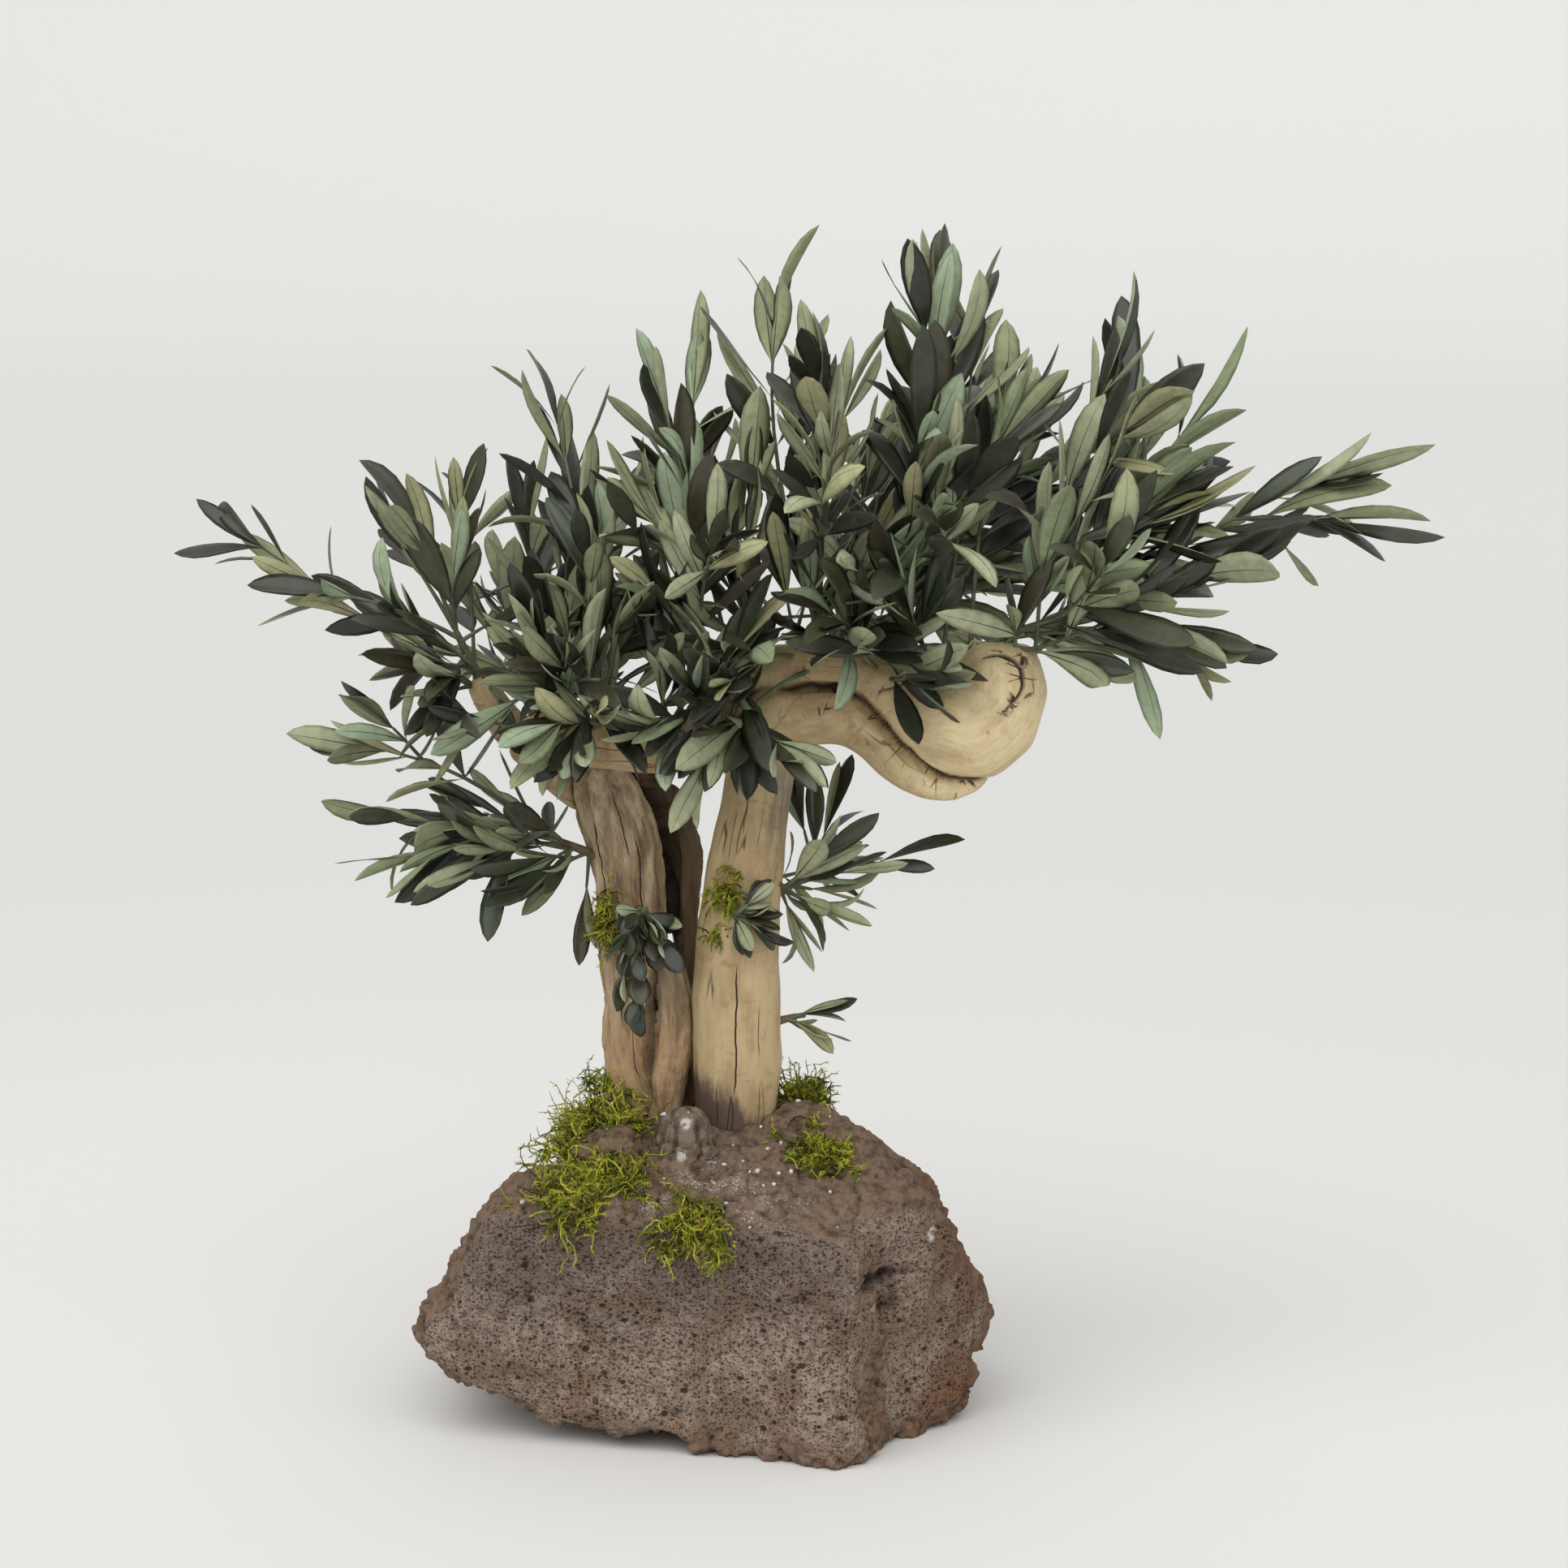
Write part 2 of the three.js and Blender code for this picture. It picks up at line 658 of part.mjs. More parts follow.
// One leaf at a share of a shoot's twig, opened from it by an angle and turned round it by another.
function growLeaf(shoot, share, openAngle, turn, partner) {
  const { curve, leafLength, random, name, twig } = shoot;
  const foot = curve.getPointAt(share);
  const along = curve.getTangentAt(share);
  for (let attempt = 0; attempt < SHOOT.tries; attempt += 1) {
    const loosen = 0.5 + attempt / 2;
    const side = sideOf(along, turn + (random() - 0.5) * loosen);
    const open = openAngle + (random() - 0.5) * LEAF.vary * loosen;
    const direction = along.clone().multiplyScalar(Math.cos(open)).addScaledVector(side, Math.sin(open));
    const facing = new THREE.Vector3(foot.x, foot.y, 0).setLength(LEAF.outward);
    const stray = new THREE.Vector3(random() - 0.5, random() - 0.5, random() - 0.5);
    facing.addScaledVector(stray, 2 * LEAF.stray).z += LEAF.upward;
    const length = openAngle === 0 ? leafLength : leafLength * (1 + (random() - 0.5) * LEAF.vary);
    const leaf = leafSolid(foot, direction, facing, length);
    if (isClear(leaf, (piece) => piece === twig || piece === partner)) return place(leaf, name);
  }
  return null;
}

// A leaf at the tip of a shoot, then pairs of leaves down it, each pair turned a quarter from the last.
function growTipLeaf(shoot) {
  shoot.tipLeaf = growLeaf(shoot, 0.98, 0, shoot.turn, null);
}

function growPair(shoot, pair) {
  const length = shoot.curve.getLength();
  const down = 0.2 * SHOOT.pairSpacing + pair * SHOOT.pairSpacing;
  if (length - down < SHOOT.bare && pair > 0) return;
  const share = Math.max(0.3, 1 - down / length);
  const open = pair === 0 ? SHOOT.tipAngle : SHOOT.openAngle;
  const turn = shoot.turn + (pair * Math.PI) / 2;
  const first = growLeaf(shoot, share, open, turn, pair === 0 ? shoot.tipLeaf : null);
  growLeaf(shoot, share, open, turn + Math.PI, first);
}

const masses = Object.entries(MASSES);
const shoots = masses.flatMap(([name, mass], i) => growTwigs(name, mass, randomFrom(SEED + i)));
shoots.forEach(growTipLeaf);
for (let pair = 0; pair < SHOOT.mostPairs; pair += 1) shoots.forEach((shoot) => growPair(shoot, pair));

// Stem, twigs and leaves of each mass fused into one body.
const foliage = {};
for (const [name] of masses) {
  const pieces = placed.filter((piece) => piece.mass === name);
  foliage[name] = largestBody(wasm.Manifold.union(pieces.map((piece) => piece.solid)));
}

// The scene graph: one named mesh for each piece.
function addPieces(group, solids, material) {
  for (const [name, solid] of Object.entries(solids)) {
    const mesh = new THREE.Mesh(geometryOf(solid), material.clone());
    mesh.name = name;
    group.add(mesh);
  }
}

const { trunk_left, ...paleLimbs } = limbs;
const bonsai = new THREE.Group();
addPieces(bonsai, stones, FINISHES.lava);
addPieces(bonsai, { trunk_left }, FINISHES.rough_wood);
addPieces(bonsai, paleLimbs, FINISHES.pale_wood);
addPieces(bonsai, cushions, FINISHES.moss);
addPieces(bonsai, foliage, FINISHES.olive_leaf);

export default bonsai;
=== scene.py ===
"""Olive bonsai on a lava rock: stone, driftwood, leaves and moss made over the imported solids."""

import logging
import math
from dataclasses import dataclass, field
from enum import Enum
from functools import cached_property

import bmesh
import bpy
import numpy as np
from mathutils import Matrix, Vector
from mathutils.bvhtree import BVHTree
from numpy.linalg import norm


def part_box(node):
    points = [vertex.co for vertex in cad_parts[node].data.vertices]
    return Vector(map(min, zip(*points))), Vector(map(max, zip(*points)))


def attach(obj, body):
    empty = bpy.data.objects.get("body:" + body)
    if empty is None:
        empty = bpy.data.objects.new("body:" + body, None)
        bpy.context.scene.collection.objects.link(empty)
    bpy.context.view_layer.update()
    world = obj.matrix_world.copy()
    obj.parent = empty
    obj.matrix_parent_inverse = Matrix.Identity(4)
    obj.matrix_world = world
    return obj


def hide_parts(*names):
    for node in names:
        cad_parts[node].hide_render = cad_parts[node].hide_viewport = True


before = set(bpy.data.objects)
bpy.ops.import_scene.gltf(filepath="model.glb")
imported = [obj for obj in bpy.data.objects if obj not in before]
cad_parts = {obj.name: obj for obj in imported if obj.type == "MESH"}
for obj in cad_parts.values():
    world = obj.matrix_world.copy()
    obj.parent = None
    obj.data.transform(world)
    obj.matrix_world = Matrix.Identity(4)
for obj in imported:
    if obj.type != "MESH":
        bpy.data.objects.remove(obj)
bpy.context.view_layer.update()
MM = 0.001
UP = np.array([0.0, 0.0, 1.0])
LOG = logging.getLogger("bonsai")
SHORTEST = 1e-9
WELD = 1e-6
HASH_AXES = np.array([374761393, 668265263, 1440662683])
HASH_SEED = 974634777
HASH_LAST = 1274126177
HASH_FULL = 0xFFFFFFFF
LAYER_SEED = 31
NO_SEED_YET = 9.0
PIT_RIM = 0.35
LINE_CORE = 0.3

Point = tuple[float, float, float]
Station = tuple[float, float, float, float]
Pair = tuple[float, float]
Array = np.ndarray
Socket = bpy.types.NodeSocket
Material = bpy.types.Material
Piece = bpy.types.Object


def linear(colour: Point) -> tuple[float, float, float, float]:
    """Turns a screen colour of 0 to 255 into the shader's linear colour.

    Args:
        colour: red, green and blue as seen on screen.

    Returns:
        The linear colour with a full alpha.
    """
    shares = [channel / 255 for channel in colour]
    bent = [share / 12.92 if share <= 0.04045 else ((share + 0.055) / 1.055) ** 2.4 for share in shares]
    return (bent[0], bent[1], bent[2], 1.0)


def unit(vectors: Array) -> Array:
    """Scales each vector to a length of one.

    Args:
        vectors: one vector, or one in each row.

    Returns:
        The scaled vectors.
    """
    return vectors / np.maximum(norm(vectors, axis=-1, keepdims=True), SHORTEST)


def ease(values: Array, low: float, high: float) -> Array:
    """Rises smoothly from 0 at low to 1 at high.

    Args:
        values: the numbers to judge.
        low: where the rise begins.
        high: where it ends.

    Returns:
        A share from 0 to 1 for each number.
    """
    share = np.clip((values - low) / (high - low), 0, 1)
    return share * share * (3 - 2 * share)


@dataclass(frozen=True)
class Noise:
    """Repeatable smooth noise over points, one pattern for each seed."""

    seed: int

    def corner(self, cells: Array) -> Array:
        """Gives each lattice cell its own value.

        Args:
            cells: whole-number cell addresses, one row each.

        Returns:
            A value from 0 to 1 for each cell.
        """
        mixed = (cells @ HASH_AXES + self.seed * HASH_SEED) & HASH_FULL
        mixed = ((mixed ^ (mixed >> 13)) * HASH_LAST) & HASH_FULL
        return (mixed ^ (mixed >> 16)) / HASH_FULL

    def smooth(self, points: Array, size: float | Array) -> Array:
        """Reads one layer of noise.

        Args:
            points: places in millimetres.
            size: length of one swelling, or one length for each axis.

        Returns:
            A value from -1 to 1 for each point.
        """
        scaled = points / size
        floor = np.floor(scaled).astype(np.int64)
        part = scaled - floor
        fade = part * part * (3 - 2 * part)
        total = np.zeros(len(points))
        for corner in np.ndindex(2, 2, 2):
            step = np.array(corner)
            share = np.where(step == 1, fade, 1 - fade).prod(axis=1)
            total += share * self.corner(floor + step)
        return 2 * total - 1

    def layers(self, points: Array, size: float | Array, count: int = 4) -> Array:
        """Adds layers of noise, each half the size and strength of the last.

        Args:
            points: places in millimetres.
            size: length of the largest swelling.
            count: how many layers.

        Returns:
            A value of about -1 to 1 for each point.
        """
        total = np.zeros(len(points))
        for level in range(count):
            total += Noise(self.seed + LAYER_SEED * level).smooth(points, size / 2**level) / 2**level
        return total / (2 - 2.0 ** (1 - count))

    def cells(self, points: Array, size: float) -> tuple[Array, Array, Array]:
        """Finds the nearest of scattered seeds, one in each lattice cell.

        Args:
            points: places in millimetres.
            size: spacing of the seeds.

        Returns:
            Distance to the nearest seed, distance to the second nearest, and the nearest one's own value.
        """
        scaled = points / size
        floor = np.floor(scaled).astype(np.int64)
        first = np.full(len(points), NO_SEED_YET)
        second = np.full(len(points), NO_SEED_YET)
        value = np.zeros(len(points))
        for step in np.ndindex(3, 3, 3):
            cell = floor + np.array(step) - 1
            places = [Noise(self.seed + shift).corner(cell) for shift in (1, 2, 3)]
            seeds = cell + np.stack(places, axis=1)
            gap = norm(scaled - seeds, axis=1)
            nearer = gap < first
            second = np.where(nearer, first, np.minimum(second, gap))
            value = np.where(nearer, self.corner(cell), value)
            first = np.where(nearer, gap, first)
        return first, second, value


@dataclass(frozen=True)
class Slit:
    """A split on a limb's front: how far aside, where it starts and ends along it, its half width."""

    aside: float
    start: float
    end: float
    width: float
    head: float = 12.0
    tail: float = 20.0
    sway: float = 6.0
    sway_length: float = 30.0
    soft: float = 0.25
    front: float = 3.0


class Sum(Enum):
    """The sums that a finish works out."""

    TIMES = "MULTIPLY"
    PLUS = "ADD"
    MINUS = "SUBTRACT"
    MOST = "MAXIMUM"
    SIZE = "ABSOLUTE"


TIMES, PLUS, MINUS, MOST, SIZE = Sum


class Recipe:
    """The node tree of one finish, made step by step."""

    def __init__(self, name: str, roughness: float, specular: float) -> None:
        """Starts a material.

        Args:
            name: the material's name.
            roughness: how matt it is.
            specular: how much it shines straight on.
        """
        self.material = bpy.data.materials.new(name)
        self.material.use_nodes = True
        self.tree = self.material.node_tree
        self.shader = self.tree.nodes["Principled BSDF"]
        self.shader.inputs["Roughness"].default_value = roughness
        self.shader.inputs["Specular IOR Level"].default_value = specular
        self.place = self.tree.nodes.new("ShaderNodeTexCoord").outputs["Object"]

    def feed(self, socket: Socket, value: object) -> None:
        """Links a socket or sets its plain value.

        Args:
            socket: the input to feed.
            value: another node's output, a number or a colour.
        """
        if isinstance(value, Socket):
            self.tree.links.new(value, socket)
        else:
            socket.default_value = value

    def attribute(self, name: str, output: str = "Fac") -> Socket:
        """Reads a value stored on the mesh.

        Args:
            name: the attribute's name.
            output: the kind of value.

        Returns:
            The value.
        """
        node = self.tree.nodes.new("ShaderNodeAttribute")
        node.attribute_name = name
        return node.outputs[output]

    @cached_property
    def grain(self) -> Socket:
        """Reads the straightened place along a limb from the mesh.

        Returns:
            The coordinates in millimetres.
        """
        return self.attribute("grain", "Vector")

    def stretched(self, place: Socket, scale: Point) -> Socket:
        """Scales a place along its axes.

        Args:
            place: the coordinates.
            scale: factor along each axis.

        Returns:
            The scaled coordinates.
        """
        node = self.tree.nodes.new("ShaderNodeVectorMath")
        node.operation = "MULTIPLY"
        self.feed(node.inputs[0], place)
        node.inputs[1].default_value = scale
        return node.outputs[0]

    def noise(self, size: float, detail: float = 3.0, place: Socket | None = None,
              rough: float = 0.55) -> Socket:
        """Makes soft noise.

        Args:
            size: length of a patch in millimetres.
            detail: layers of finer noise.
            place: coordinates, the object's own unless given.
            rough: strength of the finer layers.

        Returns:
            A value around one half.
        """
        node = self.tree.nodes.new("ShaderNodeTexNoise")
        self.feed(node.inputs["Vector"], place or self.place)
        node.inputs["Scale"].default_value = 1 / (size * (MM if place is None else 1))
        node.inputs["Detail"].default_value = detail
        node.inputs["Roughness"].default_value = rough
        return node.outputs[0]

    def shaken(self, size: float, amount: float) -> Socket:
        """Shakes the place, so that patterns read from it come out uneven.

        Args:
            size: length of one shake in millimetres.
            amount: how far it goes in millimetres.

        Returns:
            The shaken coordinates.
        """
        node = self.tree.nodes.new("ShaderNodeTexNoise")
        self.feed(node.inputs["Vector"], self.place)
        node.inputs["Scale"].default_value = 1 / (size * MM)
        node.inputs["Detail"].default_value = 2.0
        spread = self.stretched(node.outputs["Color"], (2 * amount * MM,) * 3)
        join = self.tree.nodes.new("ShaderNodeVectorMath")
        join.operation = "ADD"
        self.feed(join.inputs[0], self.place)
        self.feed(join.inputs[1], spread)
        return join.outputs[0]

    def pits(self, size: float, radius: float, place: Socket) -> Socket:
        """Makes holes scattered at a spacing.

        Args:
            size: spacing of the holes in millimetres.
            radius: largest hole, as a share of the spacing.
            place: coordinates.

        Returns:
            A value of 1 inside the holes and 0 between them.
        """
        node = self.tree.nodes.new("ShaderNodeTexVoronoi")
        self.feed(node.inputs["Vector"], place)
        node.inputs["Scale"].default_value = 1 / (size * MM)
        own = self.tree.nodes.new("ShaderNodeSeparateColor")
        self.feed(own.inputs[0], node.outputs["Color"])
        reach = self.sum(TIMES, own.outputs[0], radius)
        depth = self.sum(MINUS, reach, node.outputs["Distance"])
        return self.rise(depth, 0.0, PIT_RIM * radius)

    def crackle(self, place: Socket, width: float) -> Socket:
        """Draws the lines between scattered cells.

        Args:
            place: coordinates, with cells one unit wide.
            width: half width of the lines, in the same units.

        Returns:
            A value of 1 on the lines and 0 between them.
        """
        node = self.tree.nodes.new("ShaderNodeTexVoronoi")
        node.feature = "DISTANCE_TO_EDGE"
        self.feed(node.inputs["Vector"], place)
        node.inputs["Scale"].default_value = 1.0
        return self.sum(MINUS, 1.0, self.rise(node.outputs["Distance"], LINE_CORE * width, width))

    def contour(self, value: Socket, level: float, width: float) -> Socket:
        """Draws a thin line where a value passes a level.

        Args:
            value: what to follow.
            level: where the line runs.
            width: half width of the line, in the value's own units.

        Returns:
            A value of 1 on the line and 0 away from it.
        """
        gap = self.sum(SIZE, self.sum(MINUS, value, level), 0.0)
        return self.sum(MINUS, 1.0, self.rise(gap, LINE_CORE * width, width))

    def slit(self, slit: Slit) -> Socket:
        """Draws one split that wanders along a limb.

        Args:
            slit: where it runs.

        Returns:
            A value of 1 in the split and 0 away from it.
        """
        parts = self.tree.nodes.new("ShaderNodeSeparateXYZ")
        self.feed(parts.inputs[0], self.grain)
        aside, forward, along = parts.outputs
        stray = self.noise(1, 3, self.stretched(self.grain, (0, 0, 1 / slit.sway_length)))
        stray = self.sum(TIMES, self.sum(MINUS, stray, 0.5), slit.sway)
        gap = self.sum(SIZE, self.sum(MINUS, self.sum(MINUS, aside, slit.aside), stray), 0.0)
        begin = self.rise(along, slit.start, slit.start + slit.head)
        finish = self.rise(along, slit.end, slit.end - slit.tail)
        width = self.sum(TIMES, self.sum(TIMES, begin, finish), slit.width)
        inside = self.rise(self.sum(MINUS, width, gap), 0.0, slit.soft)
        return self.sum(TIMES, inside, self.rise(forward, 0.0, slit.front))

    def sum(self, operation: Sum, first: object, second: object) -> Socket:
        """Works out one sum.

        Args:
            operation: the kind of sum.
            first: a number or socket.
            second: a number or socket.

        Returns:
            The result.
        """
        node = self.tree.nodes.new("ShaderNodeMath")
        node.operation = operation.value
        self.feed(node.inputs[0], first)
        self.feed(node.inputs[1], second)
        return node.outputs[0]

    def rise(self, value: Socket, low: float, high: float) -> Socket:
        """Rises smoothly from 0 at low to 1 at high.

        Args:
            value: what to judge.
            low: where the rise begins.
            high: where it ends.

        Returns:
            The share.
        """
        node = self.tree.nodes.new("ShaderNodeMapRange")
        node.interpolation_type = "SMOOTHSTEP"
        self.feed(node.inputs["Value"], value)
        node.inputs["From Min"].default_value = low
        node.inputs["From Max"].default_value = high
        return node.outputs[0]

    def blend(self, share: object, first: object, second: object) -> Socket:
        """Mixes two colours.

        Args:
            share: how much of the second.
            first: a screen colour or socket.
            second: a screen colour or socket.

        Returns:
            The mixed colour.
        """
        node = self.tree.nodes.new("ShaderNodeMix")
        node.data_type = "RGBA"
        amount, *_, first_colour, second_colour, _, _ = node.inputs
        self.feed(amount, share)
        for socket, colour in ((first_colour, first), (second_colour, second)):
            self.feed(socket, colour if isinstance(colour, Socket) else linear(colour))
        return node.outputs[2]

    def finish(self, colour: Socket, height: Socket | None = None, depth: float = 0.0) -> Material:
        """Joins the parts to the shader.

        Args:
            colour: the base colour.
            height: relief from 0 to 1, if any.
            depth: how deep that relief is, in millimetres.

        Returns:
            The finished material.
        """
        self.feed(self.shader.inputs["Base Color"], colour)
        if height is not None:
            bump = self.tree.nodes.new("ShaderNodeBump")
            bump.inputs["Strength"].default_value = 1.0
            bump.inputs["Distance"].default_value = depth * MM
            self.feed(bump.inputs["Height"], height)
            self.feed(self.shader.inputs["Normal"], bump.outputs[0])
        return self.material


@dataclass(frozen=True)
class Patch:
    """Soft patches that begin at one level of a noise and are full at another; long ones follow a limb."""

    size: float
    detail: float
    low: float
    high: float
    rough: float = 0.55
    long: float = 0.0
    share: float = 1.0

    def noise(self, mix: Recipe) -> Socket:
        """Makes the noise that the patches come from.

        Args:
            mix: the recipe.

        Returns:
            A value around one half.
        """
        if self.long:
            place = mix.stretched(mix.grain, (1 / self.size, 1 / self.size, 1 / self.long))
            return mix.noise(1, self.detail, place, self.rough)
        return mix.noise(self.size, self.detail, rough=self.rough)

    def on(self, mix: Recipe) -> Socket:
        """Lays the patches over an object.

        Args:
            mix: the recipe.

        Returns:
            Their full share in the patches and 0 between them.
        """
        rise = mix.rise(self.noise(mix), self.low, self.high)
        return mix.sum(TIMES, rise, self.share) if self.share < 1 else rise


@dataclass(frozen=True)
class LavaFinish:
    """Brown-grey lava: full of pores on its broken face, dusty brown above."""

    face: Point = (136, 117, 105)
    face_pale: Point = (168, 150, 136)
    face_shade: Point = (98, 85, 79)
    face_brown: Point = (122, 99, 81)
    top: Point = (136, 114, 97)
    top_dark: Point = (92, 75, 62)
    red: Point = (118, 90, 74)
    rust: Point = (138, 100, 76)
    grey: Point = (140, 128, 110)
    grey_dark: Point = (78, 69, 60)
    pore: Point = (34, 27, 22)
    chalk: Point = (214, 210, 206)
    grit: Patch = Patch(6, 6, 0.4, 0.62, 0.7)
    browned: Patch = Patch(30, 4, 0.48, 0.62, share=0.7)
    mottled: Patch = Patch(9, 6, 0.42, 0.66, 0.65)
    reddened: Patch = Patch(24, 3, 0.3, 0.6)
    rusted: Patch = Patch(24, 5, 0.46, 0.72)
    rust_share: float = 0.6
    vein: float = 7.0
    vein_edge: Pair = (0.42, 0.6)
    vein_rise: float = 0.3
    shake: Pair = (2.0, 0.9)
    pore_rise: float = 1.4
    pores: tuple[Point, ...] = ((12, 0.24, 1.0), (2.7, 0.52, 0.85), (1.5, 0.62, 0.7))
    patchy_pores: Pair = (5.4, 0.4)
    pore_patch: Patch = Patch(30, 3, 0.36, 0.6)
    pores_above: float = 0.14
    pores_on_face: float = 0.75
    powder: Patch = Patch(1.6, 4, 0.5, 0.62, 0.75)
    clouds: Patch = Patch(13, 4, 0.45, 0.6)
    chipped: Patch = Patch(3, 4, 0.4, 0.5)
    crumb: float = 2.4
    crumb_height: float = 0.8
    relief: float = 1.5

    def material(self) -> Material:
        """Makes the lava.

        Returns:
            The finished material.
        """
        mix = Recipe("lava", 0.95, 0.15)
        holes = self.holes(mix)
        colour = mix.blend(holes, self.ground(mix), self.pore)
        # painted shade: the hollows darken towards the pore colour
        colour = mix.blend(mix.attribute("hollow_shade"), colour, self.pore)
        colour = mix.blend(self.dust(mix), colour, self.chalk)
        crumbs = mix.sum(TIMES, mix.noise(self.crumb, 5, rough=0.7), self.crumb_height)
        return mix.finish(colour, mix.sum(MINUS, crumbs, holes), self.relief)

    def ground(self, mix: Recipe) -> Socket:
        """Colours the stone between the pores.

        Args:
            mix: the recipe.

        Returns:
            The colour.
        """
        face = mix.blend(self.grit.on(mix), self.face, self.face_pale)
        face = mix.blend(self.browned.on(mix), face, self.face_brown)
        # painted shade under the top rim: the upper face darkens
        face = mix.blend(mix.attribute("rim"), face, self.face_shade)
        top = mix.blend(self.mottled.on(mix), self.top, self.top_dark)
        colour = mix.blend(mix.attribute("porous"), top, face)
        red = mix.sum(TIMES, mix.attribute("red"), self.reddened.on(mix))
        colour = mix.blend(red, colour, self.red)
        rust = mix.sum(TIMES, self.rusted.on(mix), mix.attribute("edge"))
        colour = mix.blend(mix.sum(TIMES, rust, self.rust_share), colour, self.rust)
        upright = mix.stretched(mix.place, (1 / MM, 1 / MM, self.vein_rise / MM))
        veins = mix.rise(mix.noise(self.vein, 4, upright), *self.vein_edge)
        knob = mix.blend(veins, self.grey, self.grey_dark)
        return mix.blend(mix.attribute("grey"), colour, knob)

    def holes(self, mix: Recipe) -> Socket:
        """Scatters pores of several sizes, most of them on the face.

        Args:
            mix: the recipe.

        Returns:
            A value of up to 1 in the pores and 0 between them.
        """
        place = mix.stretched(mix.shaken(*self.shake), (1, 1, self.pore_rise))
        holes = mix.sum(TIMES, mix.pits(*self.patchy_pores, place), self.pore_patch.on(mix))
        for spacing, radius, strength in self.pores:
            pits = mix.sum(TIMES, mix.pits(spacing, radius, place), strength)
            holes = mix.sum(MOST, holes, pits)
        on_face = mix.sum(TIMES, mix.attribute("porous"), self.pores_on_face)
        return mix.sum(TIMES, holes, mix.sum(PLUS, on_face, self.pores_above))

    def dust(self, mix: Recipe) -> Socket:
        """Powders the rock with chalk, densely on a few chips.

        Args:
            mix: the recipe.

        Returns:
            A share of 1 on chalk and 0 on bare stone.
        """
        powder = mix.sum(TIMES, self.powder.on(mix), self.clouds.on(mix))
        dust = mix.sum(TIMES, mix.attribute("dust"), powder)
        chip = mix.sum(TIMES, mix.attribute("chip"), self.chipped.on(mix))
        return mix.sum(MOST, dust, chip)


